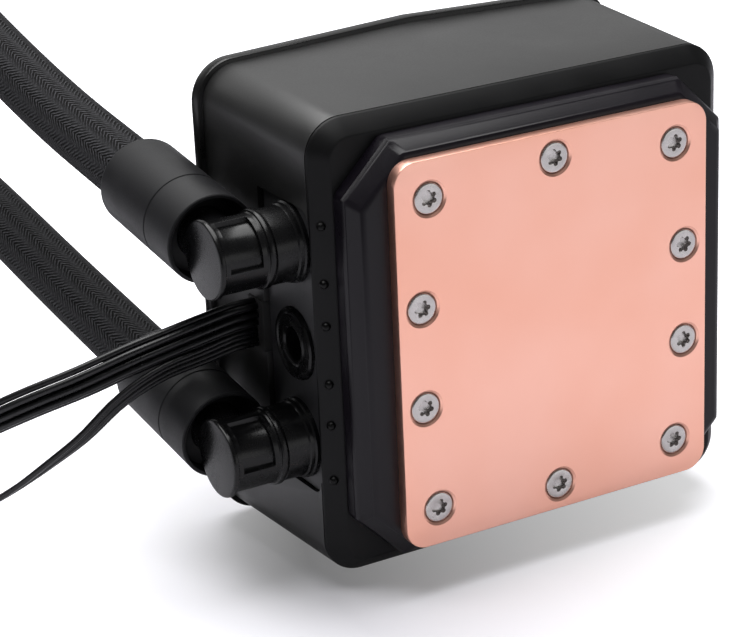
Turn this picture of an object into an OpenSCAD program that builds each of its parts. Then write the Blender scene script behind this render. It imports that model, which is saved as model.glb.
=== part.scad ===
// All-in-one liquid cooler: pump block with a copper cold plate, two swivel
// elbows, two hoses, two leads and a radiator for one 120 mm fan.
// The block stands on one side face. X points right, Y runs from the cold
// plate into the block, Z points up. The origin is the centre of the cold
// plate's contact face.

/* [Cold plate] */
// Width of the copper plate
plate_w = 57; // [54:0.5:60]
// Height of the copper plate
plate_h = 63.4; // [60:0.2:65]
// Thickness of the copper plate
plate_t = 2.2; // [1.8:0.1:2.8]
// Corner radius of the copper plate
plate_r = 3.6; // [1:0.2:6]
// Diameter of the plate screws' heads
screw_head_d = 5; // [4.4:0.1:5.4]
// Diameter of the plate screws' shanks
screw_d = 2.5; // [2:0.1:3]
// Distance from a corner screw to the plate's side edge
corner_inset_x = 6; // [5:0.1:8]
// Distance from a corner screw to the plate's top or bottom edge
corner_inset_z = 6.2; // [5:0.1:8]
// Distance from the middle screws to the plate's nearest edge
middle_inset = 4.2; // [3.6:0.1:5]
// Half the distance between the two screws at the middle of each side
side_screw_half = 8.2; // [6:0.1:12]
// Width and height of the field of fine fins behind the plate
fin_field = 26; // [20:1:30]
// Height of the fine fins
fin_h = 3; // [2:0.1:3.4]
// Thickness of one fine fin
fin_t = 0.5; // [0.3:0.05:0.6]
// Gap between two fine fins
fin_gap = 0.8; // [0.6:0.05:1.2]

/* [Pump base] */
// Width and height of the flange round the pump base
block_w = 75.2; // [74:0.2:78]
// Corner radius of the flange
block_r = 6; // [4:0.5:8]
// Width of the raised step that carries the plate
step_w = 69.4; // [68:0.2:70]
// Height of the raised step
step_h = 68.8; // [68:0.2:70]
// Length cut off each corner of the step
step_corner = 8; // [6:0.5:9]
// Bevel round the front of the step, across
step_bevel = 2; // [1:0.1:2.4]
// Bevel round the front of the step, in depth
step_bevel_depth = 2.8; // [1.5:0.1:4]
// Depth of the flange's front edge behind the contact face
flange_front = 7.6; // [7:0.1:8.5]
// Bevel between the flange's front and its outer edge
shoulder = 2.6; // [1.5:0.1:2.8]
// Depth of the seam between pump base and shroud
seam_y = 10.8; // [10.6:0.1:12]
// Diameter of the pips on the flange
pip_d = 1.5; // [1:0.1:1.8]

/* [Shroud] */
// Wall of the shroud
wall = 2; // [1.5:0.1:2.6]
// Depth of the shroud's rear end
shroud_rear = 43; // [42:0.5:48]
// Growth of the shroud's width from seam to rear end
shroud_draft = 1.8; // [0:0.1:2]
// Rise of the shroud's rear top and bottom edges at the middle
peak = 1.2; // [0:0.1:2]
// Width the rear cap reaches past the shroud on each side
cap_lip = 0.9; // [0.5:0.1:1.2]
// Thickness of the rear cap
cap_t = 3.4; // [2.5:0.1:5]
// Bevel round the rear cap's outer face
cap_bevel = 1.6; // [0.5:0.1:2]

/* [Ports] */
// Distance of the ports and the fill plug behind the contact face
port_y = 17.4; // [17:0.1:18.5]
// Height of the elbow ports above and below the middle
port_z = 16.4; // [16:0.1:17.5]
// Height of the ports' middle above the block's middle
port_mid = 0.5; // [0:0.1:1]
// Height of the port panel
panel_h = 47; // [46.8:0.2:49]
// Depth of the port panel's rear edge behind the contact face
panel_rear = 26.1; // [25:0.1:26.3]
// Radius of the port panel's front corners
panel_r = 2.2; // [1:0.1:3]
// Diameter of an elbow's spigot
spigot_d = 9; // [8:0.1:9.6]
// Diameter of the water way through the elbows
way_d = 5.4; // [4:0.1:5.8]
// Diameter of the port boss
boss_d = 12; // [11.8:0.1:12.6]
// Length of the port boss outside the panel
boss_l = 5.5; // [5:0.1:7]
// Diameter of the fill plug's head
plug_d = 11.7; // [9:0.1:12]
// Diameter of the fill plug's stem
plug_stem_d = 8.6; // [7:0.1:8.8]
// Width across the fill plug's key hole
plug_key = 5.4; // [4:0.1:6]

/* [Elbows and hoses] */
// Diameter of the elbow's drum
drum_d = 11.6; // [11:0.1:12]
// Length of the elbow's drum
drum_l = 8.3; // [8.2:0.1:9]
// Diameter of the elbow's end cap
drum_cap_d = 12.6; // [12:0.1:12.8]
// Diameter of the ring between elbow and port boss
ring_d = 12.6; // [12:0.1:12.8]
// Distance from the ring to the axis of the elbow's neck
neck_at = 3.8; // [3.7:0.1:4]
// Diameter of the elbow's neck, which the hose is pushed on
neck_d = 8.6; // [7:0.1:8.7]
// Outer diameter of a hose
hose_d = 11.2; // [10:0.1:11.4]
// Outer diameter of a collar
collar_d = 14.8; // [14.4:0.1:15]
// Length of a collar
collar_l = 25.5; // [24:0.5:28]
// Length of hose held inside a collar
hose_grip = 11.5; // [8:0.5:14]
// Rise of the upper elbow's neck, in degrees
upper_tilt = 6.5; // [0:0.5:10]
// Rise of the lower elbow's neck, in degrees
lower_tilt = 6.5; // [0:0.5:7]

/* [Pump] */
// Diameter of the impeller
impeller_d = 26; // [20:0.5:27]
// Number of impeller blades
blades = 7; // [5:1:9]
// Height of the impeller blades
blade_h = 3.6; // [2.5:0.1:4]
// Diameter of the pump shaft
shaft_d = 2; // [1.5:0.1:2.4]
// Diameter of the magnet
magnet_d = 12.4; // [10:0.1:13]
// Length of the magnet
magnet_l = 11; // [8:0.5:12]
// Wall of the rotor can
can_wall = 0.8; // [0.6:0.1:1]
// Outer diameter of the stator
stator_d = 35; // [32:0.5:35.5]
// Length of the stator core
stator_l = 10; // [7:0.5:11]
// Thickness of the controller board
board_t = 1.6; // [1:0.1:2]

/* [Leads] */
// Diameter of the power lead's bundle
power_d = 4.2; // [3.5:0.1:4.4]
// Diameter of the speed lead's bundle
speed_d = 2.8; // [2.2:0.1:3]

/* [Radiator] */
// Length of the radiator
rad_l = 157; // [150:0.5:165]
// Height of the radiator as it stands, the width of its fan
rad_h = 120; // [118:0.5:124]
// Thickness of the radiator
rad_t = 27; // [24:0.5:32]
// Distance of the radiator's face behind the contact face
rad_y = 300; // [300:1:310]
// Width of the tank with the ports
port_tank_w = 20; // [18:0.5:24]
// Width of the plain tank
plain_tank_w = 15; // [12:0.5:18]
// Number of flat water tubes
tube_count = 12; // [8:1:13]
// Height of a flat water tube
tube_h = 2; // [1.5:0.1:2.5]
// Depth of the flat water tubes and the folded fins
core_t = 20; // [18:0.5:22]
// Length of one full fold of the fins
fold = 5; // [4:0.5:8]
// Thickness of the folded fins
fold_t = 0.3; // [0.2:0.05:0.4]
// Sheet of the side rails
rail_t = 1.2; // [1:0.1:1.6]
// Width of a side rail's flanges
rail_w = 14; // [12:0.5:16]
// Distance between the fan's screw holes, both ways
fan_pitch = 105; // [104:0.5:106]
// Diameter of the fan's screw holes
fan_hole_d = 3.6; // [3.2:0.1:4]
// Distance between the radiator's ports
rad_port_pitch = 56; // [50:0.5:56]

/* [Hidden] */
$fn = 48;

// Clearances: moving fit, fixed fit, free space beside a soft piece
run_gap = 0.05;
fit_gap = 0.05;
soft_gap = 0.3;
cut = 0.5;

black = [0.10, 0.10, 0.11];
satin_black = [0.14, 0.13, 0.15];
dark_grey = [0.27, 0.27, 0.28];
copper = [0.93, 0.64, 0.54];
steel = [0.75, 0.75, 0.76];

half = block_w / 2;
shroud_w = block_w + shroud_draft;
cap_w = shroud_w + 2 * cap_lip;
floor_z = -cap_w / 2 - peak;

corner_screw_x = plate_w / 2 - corner_inset_x;
corner_screw_z = plate_h / 2 - corner_inset_z;
middle_screw_z = plate_h / 2 - middle_inset;
side_screw_x = plate_w / 2 - middle_inset;
plate_screw_places = [
    for (sx = [-1, 1], sz = [-1, 1]) [sx * corner_screw_x, sz * corner_screw_z],
    for (sx = [-1, 1], sz = [-1, 1]) [sx * side_screw_x, sz * side_screw_half],
    for (sz = [-1, 1]) [0, sz * middle_screw_z]
];
head_sink = 0.15;
head_cone = 1.3;
head_rim = 0.25;
screw_reach = 7.5;

// Chambers of the pump base, front to rear
chamber_w = 38;
chamber_h = 44;
chamber_r = 4;
gasket_in = 1.6;
gasket_w = 1.6;
gasket_depth = 1;
jet_y = plate_t + fin_h + 0.2;
jet_t = 1;
deck_y = jet_y + jet_t + fit_gap;
deck_t = 1.8;
pump_y = deck_y + deck_t;
pump_room_d = impeller_d + 4;
blade_y = pump_y + 0.4;
disc_t = 1.2;
can_seat_y = blade_y + blade_h + disc_t + 0.4;
can_flange_t = 1.6;
can_flange_d = pump_room_d + 10;
can_seal_in = pump_room_d + 2.4;
can_seal_out = can_seal_in + 2.6;
can_in_d = magnet_d + 1;
can_out_d = can_in_d + 2 * can_wall;
magnet_y = can_seat_y + can_flange_t;
can_end_y = magnet_y + magnet_l + 3.4;
magnet_bore_d = 5;
bearing_d = 5;
bearing_l = 2.2;
hub_d = 8;
stator_y = can_seat_y + can_flange_t + 0.3;
pole_w = 5;
eye_d = 13;

// Screw posts that carry the shroud
post_inset = 8.6;
post_at = half - post_inset;
post_d = 8;
post_top_d = 5;
board_y = can_end_y + 0.3;
board_over = 3.5;
board_r = 3;
// Board's parts: place in X and Z, then size
driver_at = [-6, -5];
driver_size = [10, 1.3, 10];
sensor_at = [12, 8];
sensor_size = [6, 1.1, 5];
socket_at = [-28, -9];
socket_size = [5, 4, 18];
part_sink = 0.1;
post_end = shroud_rear - wall - soft_gap;
shroud_screw_d = 2.2;
shroud_screw_head_d = 4.4;
shroud_screw_head_l = 1.2;
shroud_screw_reach = 7;
shroud_screw_room = 1;
cap_peg_at = 20;
cap_peg_d = 3;

// Left side: port panel, bosses and elbows
panel_x = -half + 0.4;
pip_places = [4.8, 11.7, 21];
plug_head_l = 2;
plug_proud = 0.8;
upper_z = port_mid + port_z;
lower_z = port_mid - port_z;
boss_end = panel_x - boss_l;
ridge_d = boss_d + 1;
ring_t = 1;
drum_start = boss_end - 0.2 - ring_t;
drum_end = drum_start - drum_l;
hose_x = drum_start - neck_at;
port_depth = 13;
way_x = panel_x + port_depth + 1.8;
way_floor = plate_t + gasket_depth + 0.6;
clip_t = 1;
clip_x = boss_end + 2.6;
clip_groove_d = spigot_d - 1.6;
clip_half = spigot_d / 2 + 0.8;
clip_leg_l = 3.4;
clip_inner = clip_groove_d / 2 + 0.1;
seal_w = 1.8;
seal_x = panel_x + 5;
seal_groove_d = spigot_d - 1.7;

collar_start = boss_d / 2 + 0.2;
collar_end = collar_start + collar_l;
mouth_depth = 3;
mouth_wall = 0.65;
neck_end = collar_end - hose_grip - soft_gap;
hose_r = hose_d / 2;

power_z = 1.6;
speed_z = -2.3;
lead_y = 28.6;
grommet_top = power_z + power_d / 2 + 0.5;
grommet_bottom = speed_z - speed_d / 2 - 0.5;
grommet_rear = lead_y + power_d / 2 + 0.3;
grommet_face = panel_x - 1.2;

// Routes of the hoses, from the elbows' collars to the radiator's
upper_run = [
    [-47.7, 78, 23.6], [-47.5, 104, 27.6], [-46, 135, 32.5], [-43, 165, 37.5],
    [-39, 195, 42.5], [-35, 222, 46], [-32.6, 243, 47.4]
];
lower_run = [
    [-47.7, 86, -8.2], [-47.5, 112, -5.2], [-46, 140, -3.8], [-43, 168, -4],
    [-39, 196, -5.5], [-35, 222, -7.6], [-32.6, 243, -8.6]
];
// Routes of the leads, from the grommet over the lower hose to the floor
power_run = [
    [-42, 28.6, 1.6], [-47.5, 29.3, 0.5], [-53.5, 30.2, -0.9], [-59, 31.4, -2.4],
    [-66.6, 34, -5.3], [-73.6, 38, -8.4], [-78, 41.5, -11], [-81.6, 46, -14.1],
    [-84.5, 53, -18.9], [-88, 61, -25], [-92.5, 71, -32], [-99, 83, -37.2],
    [-108, 96, -38.3], [-120, 109, -38.3], [-133, 123, -38.3], [-145, 139, -38.3],
    [-153, 158, -38.3], [-157, 180, -38.3], [-158, 204, -38.3], [-158, 228, -38.3],
    [-158, 252, -38.3]
];
speed_run = [
    [-42, 28.6, -2.3], [-47.5, 29.3, -3.6], [-53.8, 30.2, -5], [-58.2, 31, -6.9],
    [-62, 32, -9.4], [-67.1, 34.6, -14.8], [-71.8, 38, -19.4], [-74.9, 41.5, -23.1],
    [-77.8, 46, -26.9], [-80, 52, -31], [-82.6, 60, -35.5], [-86, 70, -38.4], [-90, 82, -39],
    [-95, 96, -39], [-102, 112, -39], [-111, 127, -39], [-120, 143, -39], [-127, 161, -39],
    [-131, 182, -39], [-133, 206, -39], [-134, 230, -39], [-134, 254, -39]
];

// Radiator, standing on its long side behind and left of the block
rad_right = -22;
rad_mid_x = rad_right - port_tank_w - (rad_l - port_tank_w - plain_tank_w) / 2;
rad_mid_z = floor_z + rad_h / 2;
core_l = rad_l - port_tank_w - plain_tank_w;
core_h = rad_h - 2 * rail_t - 2 * 0.6;
core_pitch = (core_h - tube_h) / tube_count;
tube_seat = 2;
core_right = rad_right - port_tank_w;
core_left = core_right - core_l;
function tube_z(k) = floor_z + rail_t + 0.6 + k * core_pitch;
tank_wall = 1.6;
rad_port_x = -32;
rad_port_z = 19.4;
rad_base_l = 6;
rad_base_d = 16;
rad_collar_gap = 2.6;
rad_collar_y = rad_y - rad_base_l - rad_collar_gap;
rad_neck_l = rad_base_l + rad_collar_gap + collar_l - hose_grip - soft_gap;
bleed_d = 5;

// Points of a rounded rectangle whose top and bottom edges rise to a peak
function corner_arc(cx, cz, r, from) =
    [for (k = [0:8]) [cx + r * cos(from + k * 11.25), cz + r * sin(from + k * 11.25)]];
function block_outline(w, h, r, rise) = concat(
    corner_arc(w / 2 - r, h / 2 - r, r, 0), [[0, h / 2 + rise]],
    corner_arc(-w / 2 + r, h / 2 - r, r, 90),
    corner_arc(-w / 2 + r, -h / 2 + r, r, 180), [[0, -h / 2 - rise]],
    corner_arc(w / 2 - r, -h / 2 + r, r, 270));
function cut_corners(w, h, c) = [
    [w / 2 - c, h / 2], [-w / 2 + c, h / 2], [-w / 2, h / 2 - c], [-w / 2, -h / 2 + c],
    [-w / 2 + c, -h / 2], [w / 2 - c, -h / 2], [w / 2, -h / 2 + c], [w / 2, h / 2 - c]
];

// Extrudes an outline drawn in X and Z from one depth to another
module along_y(y0, y1) {
    translate([0, y1, 0]) rotate([90, 0, 0]) linear_extrude(y1 - y0) children();
}

// Extrudes an outline drawn in Y and Z from one X to another
module along_x(x0, x1) {
    translate([x0, 0, 0]) rotate([90, 0, 90]) linear_extrude(x1 - x0) children();
}

// Round bar along Y
module rod_y(x, z, y0, y1, d) {
    translate([x, y0, z]) rotate([-90, 0, 0]) cylinder(h = y1 - y0, d = d);
}

// Round bar along X
module rod_x(y, z, x0, x1, d) {
    translate([x0, y, z]) rotate([0, 90, 0]) cylinder(h = x1 - x0, d = d);
}

// Exact rounded rectangle
module round_rect(w, h, r) {
    square([w - 2 * r, h], center = true);
    square([w, h - 2 * r], center = true);
    for (sx = [-1, 1], sz = [-1, 1]) translate([sx * (w / 2 - r), sz * (h / 2 - r)]) circle(r = r);
}

// Solid between two outlines at two depths
module loft(front, y0, rear, y1) {
    hull() {
        along_y(y0, y0 + 0.01) polygon(front);
        along_y(y1 - 0.01, y1) polygon(rear);
    }
}

// Ring of rectangular section round Y
module ring_y(x, z, y0, y1, inner, outer) {
    difference() {
        rod_y(x, z, y0, y1, outer);
        rod_y(x, z, y0 - cut, y1 + cut, inner);
    }
}

// Ring of rectangular section round X
module ring_x(y, z, x0, x1, inner, outer) {
    difference() {
        rod_x(y, z, x0, x1, outer);
        rod_x(y, z, x0 - cut, x1 + cut, inner);
    }
}

// Unit vectors and rings for a tube swept along a list of points
function unit(v) = v / norm(v);
function tangent(p, k) =
    k == 0 ? unit(p[1] - p[0]) :
    k == len(p) - 1 ? unit(p[k] - p[k - 1]) :
    unit(unit(p[k + 1] - p[k]) + unit(p[k] - p[k - 1]));
function tube_ring(c, t, r, n) =
    let (side = unit(cross(t, [0, 0, 1])), up = cross(side, t))
    [for (i = [0:n - 1]) c + r * (cos(i * 360 / n) * side + sin(i * 360 / n) * up)];
module tube(p, r, n) {
    last = len(p) - 1;
    polyhedron(
        points = [for (k = [0:last]) each tube_ring(p[k], tangent(p, k), r, n)],
        faces = concat(
            [[for (i = [0:n - 1]) i]],
            [for (k = [0:last - 1], i = [0:n - 1])
                [k * n + i, (k + 1) * n + i, (k + 1) * n + (i + 1) % n, k * n + (i + 1) % n]],
            [[for (i = [0:n - 1]) last * n + n - 1 - i]]),
        convexity = 4);
}

// Outer shell of the block, from the seam to the rear end
module shroud() {
    color(black) difference() {
        loft(block_outline(block_w, block_w, block_r, 0), seam_y,
             block_outline(shroud_w, shroud_w, block_r, peak), shroud_rear);
        difference() {
            loft(block_outline(block_w - 2 * wall, block_w - 2 * wall, block_r - wall, 0), seam_y - cut,
                 block_outline(shroud_w - 2 * wall, shroud_w - 2 * wall, block_r - wall, peak),
                 shroud_rear);
            along_y(shroud_rear - wall, shroud_rear + cut) square(block_w + 20, center = true);
        }
        // Cut-out for the port panel, with the slot for the leads behind it
        panel_outline(fit_gap, -half - 5, wall + 7);
        for (z = [upper_z, lower_z]) rod_x(port_y, z, -half - 5, -half + wall + 2, ridge_d + 2 * fit_gap);
        translate([-half - 5, panel_rear - cut, grommet_bottom - fit_gap])
            cube([wall + 7, grommet_rear - panel_rear + cut + fit_gap,
                grommet_top - grommet_bottom + 2 * fit_gap]);
        // Screw holes and their head recesses, and holes for the cap's pegs
        for (sx = [-1, 1], sz = [-1, 1]) {
            rod_y(sx * post_at, sz * post_at, shroud_rear - wall - cut, shroud_rear + cut,
                shroud_screw_d + 0.4);
            rod_y(sx * post_at, sz * post_at, shroud_rear - shroud_screw_head_l - 0.1,
                shroud_rear + cut, shroud_screw_head_d + 0.4);
            rod_y(sx * cap_peg_at, sz * cap_peg_at, shroud_rear - wall - cut, shroud_rear + cut,
                cap_peg_d + 2 * fit_gap);
        }
    }
}

// Cover with a lip round the rear end of the shroud
module rear_cap() {
    color(black) {
        along_y(shroud_rear, shroud_rear + cap_t - cap_bevel)
            polygon(block_outline(cap_w, cap_w, block_r + cap_lip, peak));
        loft(block_outline(cap_w, cap_w, block_r + cap_lip, peak), shroud_rear + cap_t - cap_bevel,
             block_outline(cap_w - 2 * cap_bevel, cap_w - 2 * cap_bevel, block_r + cap_lip - cap_bevel,
                 peak), shroud_rear + cap_t);
        for (sx = [-1, 1], sz = [-1, 1])
            rod_y(sx * cap_peg_at, sz * cap_peg_at, shroud_rear - wall, shroud_rear + cut, cap_peg_d);
    }
}

// Four screws that hold the shroud on the base's posts
module shroud_screws() {
    color(steel) for (sx = [-1, 1], sz = [-1, 1]) {
        rod_y(sx * post_at, sz * post_at, shroud_rear - shroud_screw_head_l - 0.05,
            shroud_rear - 0.1, shroud_screw_head_d);
        rod_y(sx * post_at, sz * post_at, post_end - shroud_screw_reach, shroud_rear - shroud_screw_head_l,
            shroud_screw_d);
    }
}

// Moulded base: step, flange, port panel, chambers and screw posts
module pump_base() {
    color(satin_black) difference() {
        union() {
            loft(cut_corners(step_w - 2 * step_bevel, step_h - 2 * step_bevel,
                     step_corner - 0.6 * step_bevel), plate_t,
                 cut_corners(step_w, step_h, step_corner), plate_t + step_bevel_depth);
            along_y(plate_t + step_bevel_depth - 0.01, flange_front + 0.01)
                polygon(cut_corners(step_w, step_h, step_corner));
            loft(block_outline(block_w - 2 * shoulder, block_w - 2 * shoulder, block_r - shoulder / 2, 0),
                 flange_front, block_outline(block_w, block_w, block_r, 0), flange_front + shoulder);
            along_y(flange_front + shoulder - 0.01, seam_y - fit_gap)
                polygon(block_outline(block_w, block_w, block_r, 0));
            rod_y(0, 0, seam_y - cut, can_seat_y + can_flange_t, can_flange_d + 5);
            panel_outline(0, panel_x, port_depth + 6);
            for (sx = [-1, 1], sz = [-1, 1]) {
                rod_y(sx * post_at, sz * post_at, seam_y - cut, board_y - fit_gap, post_d);
                rod_y(sx * post_at, sz * post_at, board_y - cut, post_end, post_top_d);
            }
            for (z = [upper_z, lower_z]) port_boss(z);
            flange_pips();
        }
        // Cold chamber, pocket of the jet plate, and the gasket's groove
        along_y(plate_t - cut, deck_y) round_rect(chamber_w, chamber_h, chamber_r);
        gasket_ring(0, gasket_depth);
        // Impeller room and the seat of the rotor can
        rod_y(0, 0, pump_y, can_seat_y + cut, pump_room_d);
        rod_y(0, 0, can_seat_y, can_seat_y + can_flange_t + cut, can_flange_d + 2 * fit_gap);
        suction_eye();
        // Screw holes
        for (p = plate_screw_places)
            rod_y(p[0], p[1], plate_t - cut, plate_t + screw_reach, screw_d + 2 * fit_gap);
        for (sx = [-1, 1], sz = [-1, 1])
            rod_y(sx * post_at, sz * post_at, post_end - shroud_screw_reach - shroud_screw_room,
                post_end + cut, shroud_screw_d + 2 * fit_gap);
        for (z = [upper_z, lower_z]) port_bore(z);
        // Fill hole with the seat of its plug
        rod_x(port_y, 0, panel_x - cut, panel_x + plug_head_l, plug_d + 2 * fit_gap);
        rod_x(port_y, 0, panel_x - cut, panel_x + port_depth, plug_stem_d + 2 * fit_gap);
        water_ways();
    }
}

// Slab behind the seam, with round front corners
module panel_outline(grow, x0, depth) {
    top = panel_h / 2 + grow;
    along_x(x0, x0 + depth) {
        hull() {
            for (sz = [-1, 1]) translate([seam_y + panel_r, sz * (top - panel_r)]) circle(r = panel_r);
            translate([seam_y + panel_r, -top]) square([panel_rear + grow - seam_y - panel_r, 2 * top]);
        }
        translate([seam_y - cut, panel_r - top]) square([panel_r + cut, 2 * (top - panel_r)]);
    }
}

// Boss round an elbow's spigot, with two ridges at its foot
module port_boss(z) {
    rod_x(port_y, z, boss_end, panel_x + 1, boss_d);
    rod_x(port_y, z, panel_x - 1.6, panel_x + 1, (boss_d + ridge_d) / 2);
    rod_x(port_y, z, panel_x - 0.8, panel_x + 1, ridge_d);
}

// Bore for an elbow's spigot, and the slot for its clip
module port_bore(z) {
    rod_x(port_y, z, boss_end - cut, panel_x + port_depth, spigot_d + 2 * run_gap);
    translate([clip_x - clip_t / 2 - fit_gap, port_y - clip_half - fit_gap, z - clip_leg_l - fit_gap])
        cube([clip_t + 2 * fit_gap, 2 * clip_half + 2 * fit_gap, clip_leg_l + boss_d / 2 + 3]);
}

// Opening from the cold chamber to the impeller's eye, round a bearing hub on three spokes
module suction_eye() {
    difference() {
        rod_y(0, 0, deck_y - cut, pump_y + cut, eye_d);
        rod_y(0, 0, deck_y - cut, pump_y + cut, hub_d);
        for (k = [0:2]) rotate([0, k * 120, 0])
            translate([0, deck_y - cut, -0.8]) cube([eye_d, deck_t + 2 * cut, 1.6]);
    }
    rod_y(0, 0, deck_y - cut, pump_y + cut, bearing_d + 2 * fit_gap);
}

// Ways from the lower port to the cold chamber, from the impeller room to the upper
// port, and from the fill hole to the lower port
module water_ways() {
    for (z = [upper_z, lower_z])
        rod_x(port_y, z, panel_x + port_depth - cut, way_x, way_d);
    rod_y(way_x, lower_z, way_floor, port_y, way_d);
    translate([way_x, way_floor, lower_z - way_d / 2])
        cube([5 - chamber_w / 2 - way_x, deck_y - way_floor, way_d]);
    rod_y(way_x, upper_z - 3, pump_y + way_d / 2, port_y, way_d - 1);
    rod_x(pump_y + way_d / 2, upper_z - 4, way_x, 0, way_d - 1);
    rod_x(port_y, 0, panel_x + port_depth - cut, way_x, 3);
    translate([way_x, port_y, lower_z]) cylinder(h = -lower_z, d = 3);
}

// Six small domed pips on the flange beside the port panel
module flange_pips() {
    for (z = pip_places, sz = [-1, 1])
        translate([-half + shoulder / 2, flange_front + shoulder / 2, port_mid + sz * z])
            sphere(d = pip_d, $fn = 24);
}

// Copper plate with countersunk holes in front and fine fins behind
module cold_plate() {
    fin_pitch = fin_t + fin_gap;
    fin_count = floor(fin_field / fin_pitch);
    fin_first = -(fin_count - 1) * fin_pitch / 2;
    color(copper) difference() {
        union() {
            along_y(0, plate_t) round_rect(plate_w, plate_h, plate_r);
            for (k = [0:fin_count - 1])
                translate([fin_first + k * fin_pitch - fin_t / 2, plate_t - 0.2, -fin_field / 2])
                    cube([fin_t, fin_h + 0.2, fin_field]);
        }
        for (p = plate_screw_places) {
            rod_y(p[0], p[1], -cut, plate_t + cut, screw_d + 0.3);
            translate([p[0], -0.01, p[1]]) rotate([-90, 0, 0])
                cylinder(h = head_sink + head_rim + head_cone, d1 = screw_head_d + 0.7,
                    d2 = screw_d + 0.3);
            rod_y(p[0], p[1], -cut, head_sink + head_rim, screw_head_d + 0.3);
        }
    }
}

// Ten countersunk screws through the copper plate
module plate_screws() {
    color(steel) for (p = plate_screw_places) difference() {
        union() {
            rod_y(p[0], p[1], head_sink, head_sink + head_rim, screw_head_d);
            translate([p[0], head_sink + head_rim, p[1]]) rotate([-90, 0, 0])
                cylinder(h = head_cone - 0.25, d1 = screw_head_d - 0.2, d2 = screw_d);
            rod_y(p[0], p[1], head_sink + head_rim + 0.2, plate_t + screw_reach - 0.5, screw_d);
        }
        six_lobe(p[0], p[1], head_sink - cut, head_sink + 0.9);
    }
}

// Six-lobe key recess
module six_lobe(x, z, y0, y1) {
    rod_y(x, z, y0, y1, screw_head_d * 0.3);
    for (k = [0:5])
        rod_y(x + screw_head_d * 0.17 * cos(k * 60), z + screw_head_d * 0.17 * sin(k * 60), y0, y1,
            screw_head_d * 0.11);
}

// Flat gasket in its groove between plate and base
module gasket_ring(gap, depth) {
    along_y(plate_t - (gap == 0 ? cut : -0.02), plate_t + depth) difference() {
        round_rect(chamber_w + 2 * (gasket_in + gasket_w - gap),
            chamber_h + 2 * (gasket_in + gasket_w - gap), chamber_r + gasket_in + gasket_w - gap);
        round_rect(chamber_w + 2 * (gasket_in + gap), chamber_h + 2 * (gasket_in + gap),
            chamber_r + gasket_in + gap);
    }
}
module plate_gasket() {
    color([0.2, 0.2, 0.2]) gasket_ring(fit_gap, gasket_depth - fit_gap);
}

// Plate that presses the flow through the fins, with the slot over their middle
module jet_plate() {
    color([0.55, 0.55, 0.56]) along_y(jet_y, jet_y + jet_t) difference() {
        round_rect(chamber_w - 0.3, chamber_h - 0.3, chamber_r);
        square([fin_field - 4, 2.4], center = true);
        for (sz = [-1, 1]) translate([0, sz * (chamber_h / 2 - 4)]) square([fin_field - 4, 3], center = true);
        translate([-chamber_w / 2 + 3, lower_z]) circle(d = way_d + 0.4);
    }
}

// Impeller: disc, hub and backward-curved blades
module impeller() {
    hub_out = 6;
    color([0.85, 0.85, 0.83]) difference() {
        union() {
            rod_y(0, 0, blade_y + blade_h, blade_y + blade_h + disc_t, impeller_d);
            rod_y(0, 0, blade_y + 1.6, blade_y + blade_h + 0.1, hub_out);
            for (k = [0:blades - 1]) rotate([0, k * 360 / blades, 0]) impeller_blade(hub_out);
            rod_y(0, 0, blade_y + blade_h, magnet_y + magnet_l, magnet_bore_d - 0.1);
        }
        rod_y(0, 0, blade_y - cut, magnet_y + magnet_l + cut, shaft_d + 0.04);
    }
}

// One blade: a slice of a ring, from the hub to the disc's edge
module impeller_blade(hub_out) {
    curve = impeller_d * 0.42;
    along_y(blade_y, blade_y + blade_h + 0.1) intersection() {
        translate([0, curve]) difference() {
            circle(r = curve + 0.4);
            circle(r = curve - 0.4);
        }
        translate([hub_out / 2 - 0.3, 0]) square(impeller_d / 2);
        circle(d = impeller_d - 0.2);
    }
}

// Ring magnet on the impeller's stem
module rotor_magnet() {
    color([0.3, 0.3, 0.32])
        ring_y(0, 0, magnet_y + 0.2, magnet_y + magnet_l, magnet_bore_d, magnet_d);
}

// Shaft through both bearings
module pump_shaft() {
    color(steel) rod_y(0, 0, deck_y + 0.3, can_end_y - can_wall - 0.3, shaft_d);
}

// Plain bearings in the base's hub and in the can's end
module shaft_bearings() {
    color([0.5, 0.5, 0.52]) {
        ring_y(0, 0, deck_y, deck_y + bearing_l - 0.4, shaft_d + 2 * run_gap, bearing_d);
        ring_y(0, 0, can_end_y - can_wall - bearing_l, can_end_y - can_wall, shaft_d + 2 * run_gap,
            bearing_d);
    }
}

// Can that keeps the coolant round the magnet
module rotor_can() {
    color([0.62, 0.62, 0.63]) difference() {
        union() {
            rod_y(0, 0, can_seat_y + 0.02, can_seat_y + can_flange_t, can_flange_d);
            rod_y(0, 0, can_seat_y + can_flange_t - 0.1, can_end_y, can_out_d);
        }
        difference() {
            rod_y(0, 0, can_seat_y - cut, can_end_y - can_wall, can_in_d);
            ring_y(0, 0, can_end_y - can_wall - bearing_l, can_end_y, bearing_d + 2 * fit_gap,
                bearing_d + 2.4);
        }
        ring_y(0, 0, can_seat_y - cut, can_seat_y + 0.9, can_seal_in, can_seal_out);
    }
}

// Sealing ring in the can's flange
module can_seal() {
    color([0.15, 0.15, 0.15]) ring_y(0, 0, can_seat_y + 0.04, can_seat_y + 0.85, can_seal_in + 0.1,
        can_seal_out - 0.1);
}

// Laminated stator: outer ring and four poles round the can
module stator_core() {
    color([0.5, 0.5, 0.5]) along_y(stator_y, stator_y + stator_l) difference() {
        union() {
            difference() {
                circle(d = stator_d);
                circle(d = stator_d - 5);
            }
            for (k = [0:3]) rotate(k * 90) translate([0, -pole_w / 2]) square([stator_d / 2 - 1, pole_w]);
        }
        circle(d = can_out_d + 0.4);
    }
}

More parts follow.
